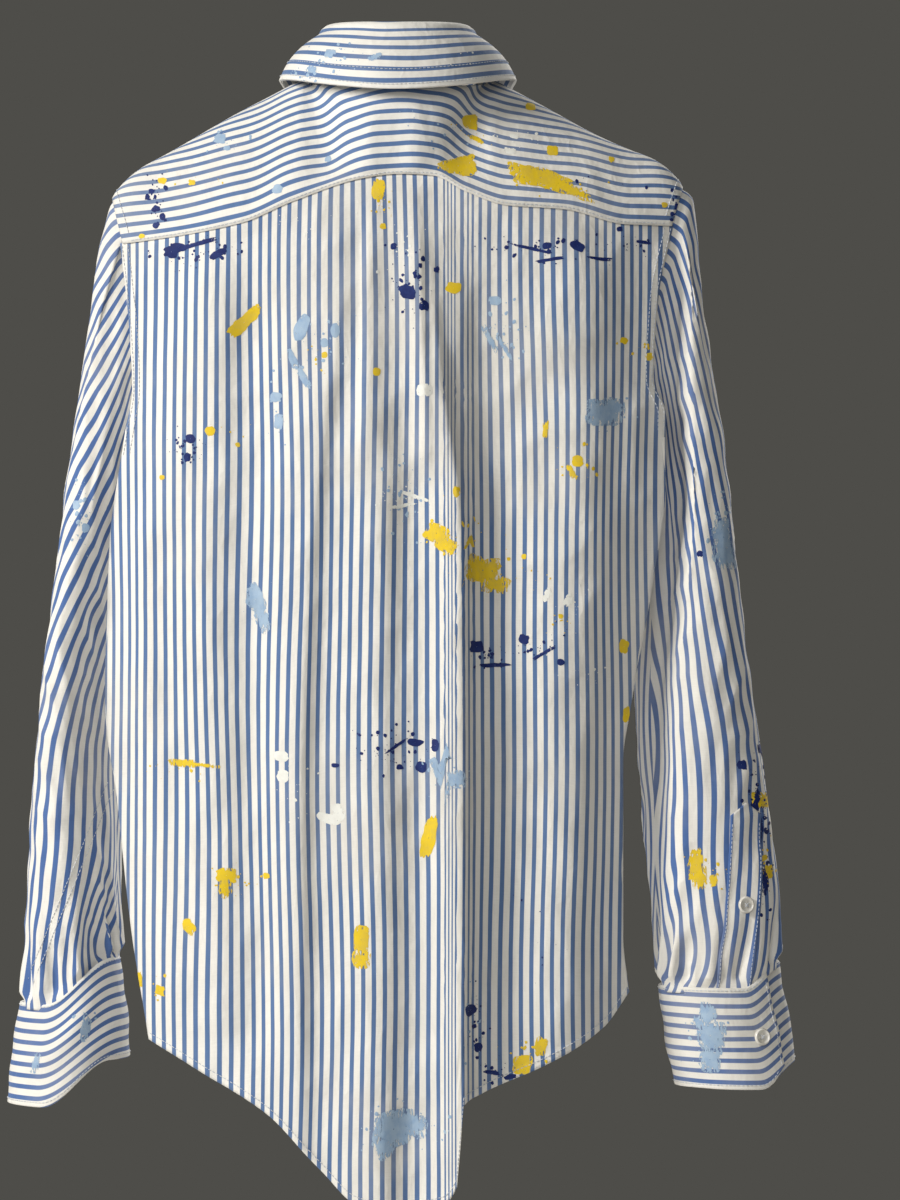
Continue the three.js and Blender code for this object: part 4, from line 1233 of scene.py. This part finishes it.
@dataclass(frozen=True)
class Stitch:
    """One stitch of a seam: a short, round-shouldered length of thread lying on the cloth."""

    length: float = 2.1 * MM
    pitch: float = 2.8 * MM
    width: float = 0.52 * MM
    height: float = 0.34 * MM
    lift: float = 0.28 * MM

    def template(self) -> tuple[Array, Array]:
        """The stitch along its first axis: four rings of four points, closed at both ends."""
        rings = ((-0.5, 0.35), (-0.3, 1.0), (0.3, 1.0), (0.5, 0.35))
        corners = ((0.5, 0.0), (0.0, 1.0), (-0.5, 0.0), (0.0, -1.0))
        points = np.array([(at * self.length, size * y * self.width, size * z * self.height)
                           for at, size in rings for y, z in corners])
        sides = [(4 * r + i, 4 * r + (i + 1) % 4, 4 * r + 4 + (i + 1) % 4, 4 * r + 4 + i)
                 for r in range(3) for i in range(4)]
        return points, np.array(sides + [(3, 2, 1, 0), (12, 13, 14, 15)])

    def along(self, cloth: Cloth, path: Path) -> tuple[Array, Array]:
        """Centres and axes of the stitches that follow a path on a cloth."""
        line = cloth.sample(*path, self.lift * np.ones(len(path[0])))
        above = cloth.sample(*path, (self.lift + 1 * MM) * np.ones(len(path[0]))) - line
        travelled = np.concatenate([[0.0], np.cumsum(np.linalg.norm(np.diff(line, axis=0), axis=1))])
        at = np.arange(self.pitch, travelled[-1] - self.pitch / 2, self.pitch)

        def read(values: Array, where: Array) -> Array:
            """Values at distances travelled."""
            return np.stack([np.interp(where, travelled, values[:, k]) for k in range(3)], axis=-1)

        ahead = read(line, at + self.length / 2) - read(line, at - self.length / 2)
        ahead /= np.linalg.norm(ahead, axis=1, keepdims=True)
        up = read(above, at)
        up -= ahead * (up * ahead).sum(1, keepdims=True)
        up /= np.linalg.norm(up, axis=1, keepdims=True)
        return read(line, at), np.stack([ahead, np.cross(up, ahead), up], axis=1)


EDGE_SEAM = 1.6 * MM  # how far in from an edge a topstitch runs
FELL_SEAM = 6.2 * MM  # and the second line of a felled seam
SEAM = Stitch()
BUTTONHOLE = Stitch(length=1.5 * MM, pitch=0.7 * MM, width=0.9 * MM, height=0.42 * MM)


class Seamstress:
    """Runs the seams that show on the smock's pieces."""

    def __init__(self, tailor: Garment) -> None:
        """Keeps the pieces to be stitched."""
        self.tailor = tailor

    def stitch(self, piece: str, paths: Sequence[Path], kind: Stitch = SEAM,
               name: str = "stitching") -> None:
        """Stitches a piece along paths, as one object that hangs with it."""
        on = self.tailor.pieces[piece]
        runs = [kind.along(on.cloth, path) for path in paths]
        centres, axes = (np.concatenate(parts) for parts in zip(*runs))
        made = new_object(f"{piece}_{name}", *place_copies(*kind.template(), centres, axes))
        give(made, self.tailor.wardrobe.thread)
        on.hang.hold(made)

    def run(self, piece: str, *seams: tuple) -> None:
        """Stitches a piece along lines inside its edges, each (edge, distance) or with a stretch of it."""
        cloth = self.tailor.pieces[piece].cloth
        self.stitch(piece, [inset(cloth, *seam) for seam in seams])

    def found(self, piece: str, line: Stations, facing: int) -> Path:
        """A path over places (across, height) in millimetres, as seen from behind or in front."""
        heights = np.linspace(line[0][1], line[-1][1], 60) * MM
        across = through([(z, x) for x, z in line], heights)
        return self.tailor.pieces[piece].cloth.find(across, heights, facing)

    def buttonholes(self, piece: str, heights: Sequence[float]) -> None:
        """Worked buttonholes down the middle of a front band: slim ovals of close stitches."""
        cloth = self.tailor.pieces[piece].cloth
        rows, columns = cloth.points.shape[:2]
        turn = np.linspace(0, 2 * math.pi, 50)
        per_row = lengths(cloth.points, 0)[-1, 0] / (rows - 1)
        paths = []
        for height in heights:
            row = int(np.argmin(np.abs(cloth.points[:, columns // 2, 2] - height)))
            long_, wide = 8.5 * MM / per_row, 1.0 * MM / (BAND / (columns - 1))
            paths.append((row + long_ * np.cos(turn), (columns - 1) / 2 + wide * np.sin(turn)))
        self.stitch(piece, paths, BUTTONHOLE, "buttonholes")

    def build(self) -> None:
        """Stitches every piece."""
        hem, sides = HEM_WIDTH - 0.9 * MM, (Edge.LEFT, Edge.RIGHT)
        armhole = [(edge, at, (0.0, 0.27)) for edge in sides for at in (EDGE_SEAM, FELL_SEAM)]
        self.run("back", (Edge.BOTTOM, hem), *armhole)
        self.run("yoke_cloth", (Edge.TOP, EDGE_SEAM, (0.01, 0.99)),
                 *((edge, FELL_SEAM, (0.05, 0.9)) for edge in sides))
        self.run("collar", (Edge.BOTTOM, 3 * MM, (0.01, 0.99)), (Edge.BOTTOM, 13 * MM, (0.1, 0.9)),
                 *((edge, 3 * MM, (0.3, 0.97)) for edge in sides))
        for side in ("left", "right"):
            self.run(f"{side}_cuff_cloth", (Edge.TOP, 2 * MM, (0.01, 0.99)),
                     (Edge.BOTTOM, 3 * MM, (0.02, 0.98)),
                     *((edge, 3 * MM, (0.05, 0.95)) for edge in sides))
            self.run(f"{side}_sleeve_strip", *((edge, EDGE_SEAM, (0.05, 1.0)) for edge in sides))
            self.run(f"{side}_front_cloth", (Edge.BOTTOM, hem), (Edge.LEFT, FELL_SEAM, (0.03, 0.4)))
        for band, edges in (("placket_cloth", sides), ("button_band_cloth", (Edge.LEFT,))):
            self.run(band, *((edge, 3.5 * MM, (0.005, 1.0)) for edge in edges))
        underarm = [((187 + across, -455), (203 + across, -499), (241 + across, -590)) for across in (0, 5)]
        self.stitch("left_sleeve_cloth", [self.found("left_sleeve_cloth", line, 1) for line in underarm])
        fronts = [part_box(f"front_button_{i}")[0].z + Button.radius for i in range(1, 6)]
        self.buttonholes("placket_cloth", fronts)


# ---- buttons -----------------------------------------------------------------------------------
@dataclass(frozen=True)
class Button:
    """A four-hole pearly button with a rounded rim, sewn on with crossed thread."""

    radius: float = 5.7 * MM
    height: float = 2.3 * MM
    hole: float = 0.85 * MM
    holes_out: float = 1.35 * MM
    rings: int = 16
    spokes: int = 40

    def surface(self) -> tuple[Array, Array]:
        """The button standing on its third axis: a disc of rings, its back closed flat."""
        share = np.concatenate([np.linspace(0.02, 1, self.rings), [1.0, 0.94, 0.02]])[:, None]
        turn = np.linspace(0, 2 * math.pi, self.spokes, endpoint=False)[None]
        x, y = self.radius * share * np.cos(turn), self.radius * share * np.sin(turn)
        rim = 0.75 * MM * np.exp(-(((share - 0.82) / 0.13) ** 2))
        height = 1.35 * MM + rim - 1.1 * MM * smooth(0.90, 1.0, share) + 0 * turn
        for a, b in ((1, 1), (1, -1), (-1, 1), (-1, -1)):
            away = np.hypot(x - a * self.holes_out, y - b * self.holes_out)
            height = height - 1.2 * MM * (1 - smooth(0.6 * self.hole, self.hole, away))
        height[self.rings] = 0.35 * MM
        height[self.rings + 1:] = 0.0
        points = np.stack([x, y, height], axis=-1).reshape(-1, 3)
        rows = len(share)
        r, c = np.meshgrid(np.arange(rows - 1), np.arange(self.spokes), indexing="ij")
        ahead = (c + 1) % self.spokes
        quads = np.stack([r * self.spokes + c, (r + 1) * self.spokes + c, (r + 1) * self.spokes + ahead,
                          r * self.spokes + ahead], axis=-1).reshape(-1, 4)
        return points, quads

    def thread(self) -> tuple[Array, Array]:
        """Two crossed stitches between the holes, in the button's own axes."""
        bar, faces = Stitch(length=4.2 * MM, width=0.8 * MM, height=0.45 * MM).template()
        half = math.sqrt(0.5)
        turned = [np.array([(half, -s, 0), (s, half, 0), (0, 0, 1)]) for s in (half, -half)]
        points = np.concatenate([bar @ t.T + (0, 0, 1.45 * MM) for t in turned])
        return points, np.concatenate([faces, faces + len(bar)])


class Haberdasher:
    """Sews the buttons on and sets the label's finish."""

    FROM_CUFF_END = 0.045  # how far in from the cuff's outer end its button is, as a share of its length
    LIFT = 0.5 * MM  # how far a button's foot stands off the cloth
    ON = {"collar_button": ("stand", -1), "chest_button": ("placket_cloth", -1),
          **{f"front_button_{i}": ("button_band_cloth", -1) for i in range(1, 6)},
          "left_cuff_button": ("left_cuff_cloth", -1), "left_placket_button": ("left_sleeve_strip", -1),
          "right_cuff_button": ("right_cuff_cloth", 1), "right_placket_button": ("right_sleeve_strip", 1)}

    def __init__(self, tailor: Garment) -> None:
        """Keeps the pieces that the buttons go on."""
        self.tailor = tailor

    def sew_on(self, node: str, button: Button) -> None:
        """Sets one button on its cloth, facing out, at its node's place."""
        piece, facing = self.ON[node]
        on = self.tailor.pieces[piece]
        low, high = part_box(node)
        middle = (low + high) / 2
        row, column = on.cloth.find(np.array([middle.x]), np.array([middle.z]), facing)
        if node.endswith("cuff_button"):
            rows, columns = on.cloth.points.shape[:2]
            row, column = np.array([rows * 0.5]), np.array([columns * self.FROM_CUFF_END])
        foot, over = (on.cloth.sample(row, column, np.array([by]))[0] for by in
                      (self.LIFT, self.LIFT + 1 * MM))
        up = (over - foot) / np.linalg.norm(over - foot)
        side = np.cross((0, 0, 1), up)
        side /= np.linalg.norm(side)
        axes = np.stack([side, np.cross(up, side), up])
        for name, shape, finish in ((f"{node}_resin", button.surface(), self.tailor.wardrobe.resin),
                                    (f"{node}_thread", button.thread(), self.tailor.wardrobe.thread)):
            made = new_object(name, foot + shape[0] @ axes, shape[1])
            give(made, finish)
            on.hang.hold(made)
            if finish is self.tailor.wardrobe.resin:
                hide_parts(node)

    def build(self) -> None:
        """Sews on every button."""
        for node in self.ON:
            self.sew_on(node, Button())
        give(frame["nodes"]["neck_label"], self.tailor.wardrobe.tape)


# ---- paint -------------------------------------------------------------------------------------
@dataclass(frozen=True)
class Mark:
    """One mark of paint: its middle, its half width and height, its tilt in degrees and its dryness.

    Lengths are millimetres on the smock as it hangs. A dry mark breaks up towards its rim.
    """

    x: float
    z: float
    half_width: float
    half_height: float
    tilt: float = 0.0
    dry: float = 0.35


@dataclass(frozen=True)
class Spatter:
    """Drops thrown over an area: their middle, spread, number and largest radius, in millimetres."""

    x: float
    z: float
    half_width: float
    half_height: float
    count: int
    size: float
    tilt: float = 0.0

    def drops(self, random: np.random.Generator) -> list[Mark]:
        """The drops as marks, most of them small."""
        lean, made = math.radians(self.tilt), []
        for _ in range(self.count):
            a, b = np.clip(random.normal(0, 0.5, 2), -1.1, 1.1) * (self.half_width, self.half_height)
            size = self.size * (0.16 + 0.84 * random.random() ** 3)
            made.append(Mark(self.x + a * math.cos(lean) - b * math.sin(lean),
                             self.z + a * math.sin(lean) + b * math.cos(lean),
                             size, size * random.uniform(0.8, 1.5), random.uniform(-40, 40), 0.0))
        return made


@dataclass(frozen=True)
class Splash:
    """The marks and spatters of one tone on one piece, seen from behind (1) or in front (-1)."""

    piece: str
    tone: Tone
    marks: tuple[Mark, ...] = ()
    spatters: tuple[Spatter, ...] = ()
    facing: int = 1


class Painter:
    """Puts the dried paint on: thin patches that follow the cloth."""

    def __init__(self, tailor: Garment) -> None:
        """Makes one material for each tone."""
        self.tailor = tailor
        self.finish = {tone: tone.value.make() for tone in Tone}

    def patch(self, cloth: Cloth, mark: Mark, facing: int, random: np.random.Generator) -> tuple:
        """One mark as a grid of rings and spokes with a wandering outline, laid on the cloth."""
        big = max(mark.half_width, mark.half_height)
        rings, spokes = int(np.clip(big / 1.6, 2, 14)) + 1, int(np.clip(big * 4, 12, 72))
        turn = np.linspace(0, 2 * math.pi, spokes + 1)
        square = 2 + 3 * min(mark.dry, 0.7)
        outline = (np.abs(np.cos(turn)) ** square + np.abs(np.sin(turn)) ** square) ** (-1 / square)
        outline = outline + sum(0.085 / k ** 0.4 * random.normal() * np.sin(k * turn + random.uniform(0, 6.3))
                                for k in (2, 3, 4, 5, 7, 9, 13, 17))
        share = np.linspace(0.03, 1, rings)[:, None]
        a, b = (half * MM * share * outline * wave(turn) for half, wave in
                ((mark.half_width, np.cos), (mark.half_height, np.sin)))
        lean = math.radians(mark.tilt)
        dx, dz = a * math.cos(lean) - b * math.sin(lean), a * math.sin(lean) + b * math.cos(lean)
        row, column = cloth.find(np.array([mark.x * MM]), np.array([mark.z * MM]), facing)
        r, c = (int(np.clip(round(float(at[0])), 1, size - 2)) for at, size in
                zip((row, column), cloth.points.shape[:2]))
        basis = np.array([cloth.points[r + 1, c] - cloth.points[r - 1, c],
                          cloth.points[r, c + 1] - cloth.points[r, c - 1]])[:, [0, 2]].T / 2
        steps = np.linalg.solve(basis, np.stack([dx, dz]).reshape(2, -1)).reshape(2, *dx.shape)
        most = 2.0 * big * MM / GRID
        steps = np.clip(steps, -most, most)
        dome = (0.16 + 0.10 * (1 - share ** 2)) * MM + 0 * dx
        points = cloth.sample(row[0] + steps[0], column[0] + steps[1], dome)
        return points, np.stack([share + 0 * dx, np.full_like(dx, mark.dry)], axis=-1)

    def apply(self, splash: Splash, seed: int) -> None:
        """Lays one splash as a single object that hangs with its piece."""
        on = self.tailor.pieces[splash.piece]
        random = np.random.default_rng(seed)
        marks = [*splash.marks, *(drop for spatter in splash.spatters for drop in spatter.drops(random))]
        points, faces, corners, count = [], [], [], 0
        for mark in marks:
            grid_points, grid_uv = self.patch(on.cloth, mark, splash.facing, random)
            quads, at = faces_of(*grid_points.shape[:2], True, splash.facing < 0)
            points.append(grid_points[:, :-1].reshape(-1, 3))
            faces.append(quads + count)
            corners.append(grid_uv.reshape(-1, 2)[at.ravel()])
            count += len(points[-1])
        made = new_object(f"{splash.piece}_paint_{splash.tone.name.lower()}", np.concatenate(points),
                          np.concatenate(faces), np.concatenate(corners))
        give(made, self.finish[splash.tone])
        on.hang.hold(made)

    def build(self) -> None:
        """Applies every splash."""
        for seed, splash in enumerate(SPLASHES):
            self.apply(splash, 100 + seed)


SPLASHES = (
    Splash("yoke_cloth", Tone.YELLOW, (
        Mark(-48, -21, 5, 5, 0, 0.5), Mark(-88, -9, 3.3, 2.8), Mark(-102, -40, 3.8, 3.6),
        Mark(-141, -45, 2, 2),
        Mark(-40, -52, 12, 6, -4, 0.6), Mark(-94, -59, 20, 7, 14, 0.65), Mark(-112, -66, 15, 4, 22, 0.9),
        Mark(-52, -33, 5, 1.6, 30, 0.7), Mark(155, -59, 3, 2.2, 10), Mark(135, -61, 2.3, 2),
        Mark(168, -96, 2, 1.6),
        Mark(-176, -75, 2, 1.8)), (
        Spatter(-50, -30, 14, 8, 16, 1.2, 30), Spatter(-100, -62, 34, 10, 34, 1.2, 15),
        Spatter(130, -55, 24, 8, 12, 1.0))),
    Splash("yoke_cloth", Tone.NAVY, (Mark(162, -66, 2, 1.6), Mark(158, -78, 2.2, 1.8)), (
        Spatter(160, -72, 7, 16, 34, 2.2), Spatter(-182, -78, 3, 14, 12, 2.0),
        Spatter(-120, -62, 40, 8, 8, 1.2))),
    Splash("yoke_cloth", Tone.SKY, (
        Mark(117, -31, 4, 3.4), Mark(112, -38, 2.4, 1.6), Mark(78, -67, 3.3, 3),
        Mark(45, -47, 2, 2, 0, 0.6)), (
        Spatter(112, -34, 14, 8, 16, 1.2), Spatter(-30, -28, 30, 12, 18, 1.0))),
    Splash("yoke_cloth", Tone.CREAM, (
        Mark(-74, -41, 4, 2, 15, 0.5), Mark(-77, -31, 3, 1.6, 10, 0.5)),
        (Spatter(-80, -30, 16, 9, 22, 1.2),)),
    Splash("back", Tone.YELLOW, (
        Mark(12, -68, 4, 7, 5, 0.6), Mark(9, -92, 2, 2), Mark(100, -154, 12, 4.4, -42, 0.35),
        Mark(93, -146, 4, 3, -38, 0.7), Mark(-37, -132, 5, 3.6), Mark(13, -187, 2.6, 2.6),
        Mark(47, -176, 2, 2),
        Mark(-97, -224, 1.8, 5.4, 6, 0.7), Mark(-118, -245, 4, 3.4), Mark(-114, -252, 2, 5, -25, 0.7),
        Mark(122, -225, 3.3, 3), Mark(104, -234, 1.6, 1.5), Mark(154, -255, 1.8, 1.6),
        Mark(-149, -165, 2.6, 2.2),
        Mark(-166, -175, 2.6, 2.6), Mark(-39, -265, 2.6, 3.3), Mark(-26, -292, 8, 6, 30, 0.7),
        Mark(-32, -300, 7, 5, 35, 0.7), Mark(-48, -295, 3.3, 3), Mark(-56, -316, 11, 9, 20, 0.75),
        Mark(-64, -325, 9, 6, 10, 0.9), Mark(-83, -307, 1.6, 1.8), Mark(-149, -366, 3.2, 4.6),
        Mark(-107, -346, 1.6, 1.6),
        Mark(-151, -411, 2.4, 5, 0, 0.5), Mark(140, -442, 9, 2.6, 3, 0.75),
        Mark(128, -443, 14, 1.2, 6, 1.0),
        Mark(111, -515, 6.5, 5, 0, 0.7), Mark(112, -523, 4, 7, 0, 0.9), Mark(85, -515, 2.2, 2),
        Mark(136, -549, 3.6, 5.4, -25, 0.6), Mark(170, -586, 1.8, 5.2), Mark(156, -592, 3.2, 3.4),
        Mark(-21, -490, 4.2, 14, 14, 0.4), Mark(23, -556, 5.2, 9, 0, 0.55),
        Mark(23, -569, 5.6, 6, 0, 0.95), Mark(-94, -627, 3.8, 6.2, 8, 0.6),
        Mark(-82, -639, 6.5, 6, 0, 0.6)), (
        Spatter(8, -80, 10, 12, 20, 1.2), Spatter(50, -180, 8, 16, 10, 1.2),
        Spatter(-120, -248, 14, 14, 18, 1.2),
        Spatter(-45, -300, 26, 20, 36, 1.4, 30), Spatter(-90, -320, 20, 10, 12, 1.0),
        Spatter(-105, -350, 12, 8, 14, 0.9),
        Spatter(140, -446, 24, 8, 16, 1.2), Spatter(105, -520, 20, 12, 22, 1.1),
        Spatter(160, -590, 8, 10, 8, 1.2),
        Spatter(-85, -632, 18, 10, 22, 1.2), Spatter(-158, -170, 14, 8, 12, 1.0),
        Spatter(112, -226, 16, 8, 10, 1.0))),
    Splash("back", Tone.NAVY, (
        Mark(148, -107, 5, 4, 0, 0.2), Mark(143, -104, 5, 2.6, 10, 0.3), Mark(130, -102, 12, 1.5, -14, 0.5),
        Mark(117, -109, 6, 2.4, -30, 0.3), Mark(2, -105, 2, 2.2), Mark(-7, -135, 5, 4.6),
        Mark(-18, -144, 3.2, 3.2),
        Mark(-26, -120, 1.8, 2), Mark(-118, -104, 5, 3, 20, 0.3), Mark(-100, -113, 9, 1.1, -10, 0.4),
        Mark(-88, -106, 12, 1.1, 12, 0.5), Mark(-133, -112, 8, 1.1, 4, 0.5), Mark(-146, -92, 2, 1.6),
        Mark(-162, -100, 5, 1.1, 8, 0.5), Mark(-98, -104, 2.8, 2.4), Mark(135, -230, 3.2, 3),
        Mark(137, -242, 2.2, 3),
        Mark(-52, -366, 4.4, 4), Mark(-64, -378, 10, 1.3, -3, 0.4), Mark(-83, -361, 3.4, 3),
        Mark(-96, -370, 8, 1.1, -30, 0.6),
        Mark(-107, -376, 2.6, 2), Mark(-12, -428, 5, 2.4, 5, 0.3), Mark(-25, -430, 2.4, 4),
        Mark(-16, -444, 3.6, 3.6),
        Mark(0, -430, 8, 1, -34, 0.5), Mark(-2, -444, 2.4, 1.6), Mark(40, -443, 2.6, 1.4),
        Mark(-48, -602, 3.6, 3.6), Mark(-53, -627, 2.8, 3), Mark(-62, -644, 5, 1.4, 10, 0.4),
        Mark(-74, -647, 4, 1.6, -10)), (
        Spatter(132, -108, 28, 9, 60, 1.3, -8), Spatter(-10, -130, 16, 26, 46, 1.8),
        Spatter(-95, -106, 40, 9, 46, 1.5),
        Spatter(-150, -102, 24, 8, 20, 1.3), Spatter(138, -236, 13, 13, 40, 1.4),
        Spatter(-60, -372, 14, 9, 26, 1.5),
        Spatter(-92, -366, 20, 8, 26, 1.3, -28), Spatter(0, -432, 26, 16, 60, 1.4),
        Spatter(-52, -612, 8, 26, 32, 1.3),
        Spatter(-66, -642, 16, 8, 20, 1.4), Spatter(-90, -560, 26, 34, 14, 0.7))),
    Splash("back", Tone.SKY, (
        Mark(62, -158, 4, 9, 24, 0.5), Mark(68, -178, 2.4, 6, -20, 0.6), Mark(61, -190, 2.2, 9, -28, 0.7),
        Mark(40, -160, 3, 4.4), Mark(47, -168, 2.4, 3), Mark(79, -203, 4, 3, 0, 0.5),
        Mark(77, -219, 3, 5, 0, 0.6), Mark(-64, -140, 4, 3, 0, 0.5), Mark(-61, -165, 2, 11, -28, 0.95),
        Mark(-70, -170, 1.6, 9, -30, 0.95), Mark(-136, -213, 12, 9, 0, 0.75),
        Mark(-142, -209, 8, 6, 10, 1.0),
        Mark(92, -335, 5.5, 10, -16, 0.6), Mark(88, -346, 5, 10, -14, 1.0), Mark(-29, -450, 9, 8, -10, 0.6),
        Mark(-38, -452, 7, 6, -14, 0.9), Mark(2, -679, 13, 12, 0, 0.75), Mark(-10, -676, 11, 8, 20, 1.0),
        Mark(8, -690, 7, 8, -20, 1.0)), (
        Spatter(50, -170, 24, 18, 34, 1.4), Spatter(-70, -155, 16, 24, 46, 1.3, -25),
        Spatter(-138, -212, 18, 14, 30, 1.1),
        Spatter(90, -340, 10, 18, 20, 1.2), Spatter(-6, -265, 14, 30, 60, 1.2),
        Spatter(-32, -450, 14, 12, 22, 1.3),
        Spatter(-6, -676, 26, 15, 60, 1.3), Spatter(-50, -610, 6, 24, 26, 1.0),
        Spatter(78, -210, 6, 22, 14, 1.3))),
    Splash("back", Tone.CREAM, (
        Mark(75, -437, 4.6, 3.4), Mark(74, -450, 4, 4.4), Mark(44, -478, 8, 3.2, 14, 0.5),
        Mark(38, -474, 4, 6, -20, 0.6),
        Mark(-18, -199, 5, 4, 0, 0.5), Mark(-12, -268, 10, 1.3, 18, 0.6), Mark(-4, -274, 8, 1.2, -10, 0.6),
        Mark(-112, -336, 3, 4, 30, 0.7), Mark(-98, -332, 2, 5, 20, 0.7)), (
        Spatter(60, -460, 20, 18, 26, 1.4), Spatter(-2, -272, 20, 10, 26, 1.1),
        Spatter(-112, -340, 16, 16, 20, 0.9),
        Spatter(-5, -110, 16, 20, 30, 1.0), Spatter(60, -90, 40, 10, 30, 0.9),
        Spatter(-120, -385, 20, 16, 16, 0.9))),
    Splash("collar", Tone.SKY, (
        Mark(44, 22, 4, 3, 10, 0.8), Mark(14, 18, 5, 2, -20, 0.8), Mark(56, 12, 4, 2.4, 0, 0.9),
        Mark(62, 2, 3, 2, 0, 0.9)), (
        Spatter(40, 20, 26, 12, 46, 1.1, 20), Spatter(60, 8, 12, 8, 26, 1.2))),
    Splash("collar", Tone.CREAM, (), (Spatter(-50, 16, 20, 10, 12, 0.8),)),
    Splash("left_sleeve_cloth", Tone.SKY, (Mark(211, -273, 2.4, 3), Mark(205, -288, 2.4, 3)), (
        Spatter(209, -280, 8, 24, 46, 1.5),)),
    Splash("left_cuff_cloth", Tone.SKY, (Mark(205, -617, 3, 9, 10, 0.9), Mark(238, -640, 3, 7, 20, 1.0)), (
        Spatter(204, -612, 8, 12, 22, 1.1),)),
    Splash("right_sleeve_cloth", Tone.SKY, (Mark(-215, -294, 7, 12, -14, 0.85),
        Mark(-217, -306, 6, 10, -10, 1.0)), (
        Spatter(-213, -288, 9, 22, 60, 1.3),)),
    Splash("right_sleeve_cloth", Tone.YELLOW, (
        Mark(-244, -468, 8, 5, 12, 0.5), Mark(-197, -510, 5, 10, 0, 0.7), Mark(-199, -518, 5, 8, 0, 1.0),
        Mark(-208, -520, 2.6, 4, 0, 0.7), Mark(-242, -506, 2.6, 2), Mark(-245, -515, 3.6, 4.4)), (
        Spatter(-203, -512, 14, 14, 24, 1.1), Spatter(-242, -505, 8, 16, 18, 1.3))),
    Splash("right_sleeve_cloth", Tone.NAVY, (
        Mark(-240, -434, 3.2, 2.8), Mark(-227, -444, 3.4, 3), Mark(-236, -470, 2.6, 10, 14, 0.5),
        Mark(-238, -495, 3, 16, 8, 0.7), Mark(-243, -520, 2.4, 10, 0, 0.8), Mark(-199, -305, 2, 2),
        Mark(-230, -488, 2.6, 2.8), Mark(-229, -500, 2.6, 3)), (
        Spatter(-237, -480, 11, 46, 120, 1.8), Spatter(-240, -520, 8, 24, 36, 1.5))),
    Splash("right_sleeve_cloth", Tone.CREAM, (), (Spatter(-240, -480, 10, 34, 22, 1.0),)),
    Splash("right_cuff_cloth", Tone.SKY, (
        Mark(-204, -608, 6, 7, 20, 0.9), Mark(-206, -622, 9, 10, 0, 0.75), Mark(-206, -638, 7, 9, 10, 0.9),
        Mark(-198, -614, 3, 5, 0, 0.9)), (Spatter(-203, -620, 14, 22, 60, 1.2),)),
    Splash("left_front_cloth", Tone.YELLOW, (Mark(84, -240, 4, 7, 20, 0.8), Mark(96, -430, 3, 4)), (
        Spatter(88, -250, 18, 20, 18, 1.2),), -1),
    Splash("left_front_cloth", Tone.SKY, (Mark(70, -380, 6, 9, -15, 0.9),),
        (Spatter(72, -386, 14, 16, 22, 1.2),), -1),
    Splash("right_front_cloth", Tone.NAVY, (Mark(-88, -300, 3.4, 3), Mark(-70, -310, 8, 1.2, 12, 0.5)), (
        Spatter(-80, -305, 24, 12, 46, 1.4, 10),), -1),
    Splash("right_front_cloth", Tone.SKY, (Mark(-102, -180, 7, 5, 10, 0.9),),
        (Spatter(-100, -184, 14, 12, 20, 1.1),), -1),
)


# ---- the stage -----------------------------------------------------------------------------------
@dataclass
class Studio:
    """A pale floor, soft lights and the camera behind the smock."""

    floor_drop: float = 0.26
    floor_size: float = 2.6
    distance: float = 3.0
    look_at: Place = (-0.0347, 0.04, -0.3354)
    view_height: float = 0.786

    def area_light(self, name: str, place: Place, size: float, power: float, tint: Place) -> None:
        """An area light at a place, aimed at the smock's middle."""
        data = bpy.data.lights.new(name, "AREA")
        data.size, data.energy, data.color = size, power, tint
        lamp = bpy.data.objects.new(name, data)
        aim = np.array(self.look_at) - np.array(place)
        lamp.location = place
        lamp.rotation_euler = Vector(aim).to_track_quat("-Z", "Y").to_euler()
        bpy.context.scene.collection.objects.link(lamp)

    def floor(self) -> None:
        """A plain pale floor below the hem, with a faint mottle."""
        low, half = CAD_BOX[0][2] - self.floor_drop, self.floor_size / 2
        corners = [(-half, -half, low), (half, -half, low), (half, half, low), (-half, half, low)]
        made = new_object("floor", np.array(corners), [(0, 1, 2, 3)])
        made.data.materials.append(
            PlainFinish("pale floor", colour(206, 204, 200), colour(200, 198, 194), 0.8, 30.0).make())

    def camera(self) -> None:
        """The camera: level, straight behind the smock."""
        data = bpy.data.cameras.new("camera")
        data.sensor_fit = "VERTICAL"
        data.angle = 2 * math.atan(self.view_height / 2 / self.distance)
        made = bpy.data.objects.new("camera", data)
        x, y, z = self.look_at
        made.location = (x, y + self.distance, z)
        made.rotation_euler = (math.pi / 2, 0.0, math.pi)
        bpy.context.scene.collection.objects.link(made)
        bpy.context.scene.camera = made

    def build(self) -> None:
        """Sets the whole stage."""
        scene = bpy.context.scene
        scene.view_settings.view_transform = "Standard"
        scene.world = bpy.data.worlds.new("room")
        scene.world.use_nodes = True
        back = scene.world.node_tree.nodes["Background"]
        back.inputs[0].default_value = colour(78, 77, 73)
        back.inputs[1].default_value = 1.0
        self.area_light("window", (2.3, 1.55, 0.9), 1.0, 88.0, (1.0, 0.985, 0.96))
        self.area_light("fill", (0.3, 3.0, 0.5), 1.8, 26.0, (0.95, 0.97, 1.0))
        self.area_light("front", (-1.2, -2.1, 0.8), 1.5, 60.0, (1.0, 0.99, 0.97))
        self.floor()
        self.camera()


def main() -> None:
    """Builds the smock and its stage, in order."""
    Studio().build()
    tailor = Garment(Wardrobe())
    Body(tailor).build()
    Collar(tailor).build()
    for shape in (LEFT_SLEEVE, RIGHT_SLEEVE):
        Sleeve(tailor, shape).build()
    Seamstress(tailor).build()
    Haberdasher(tailor).build()
    Painter(tailor).build()


if __name__ == "__main__":
    main()
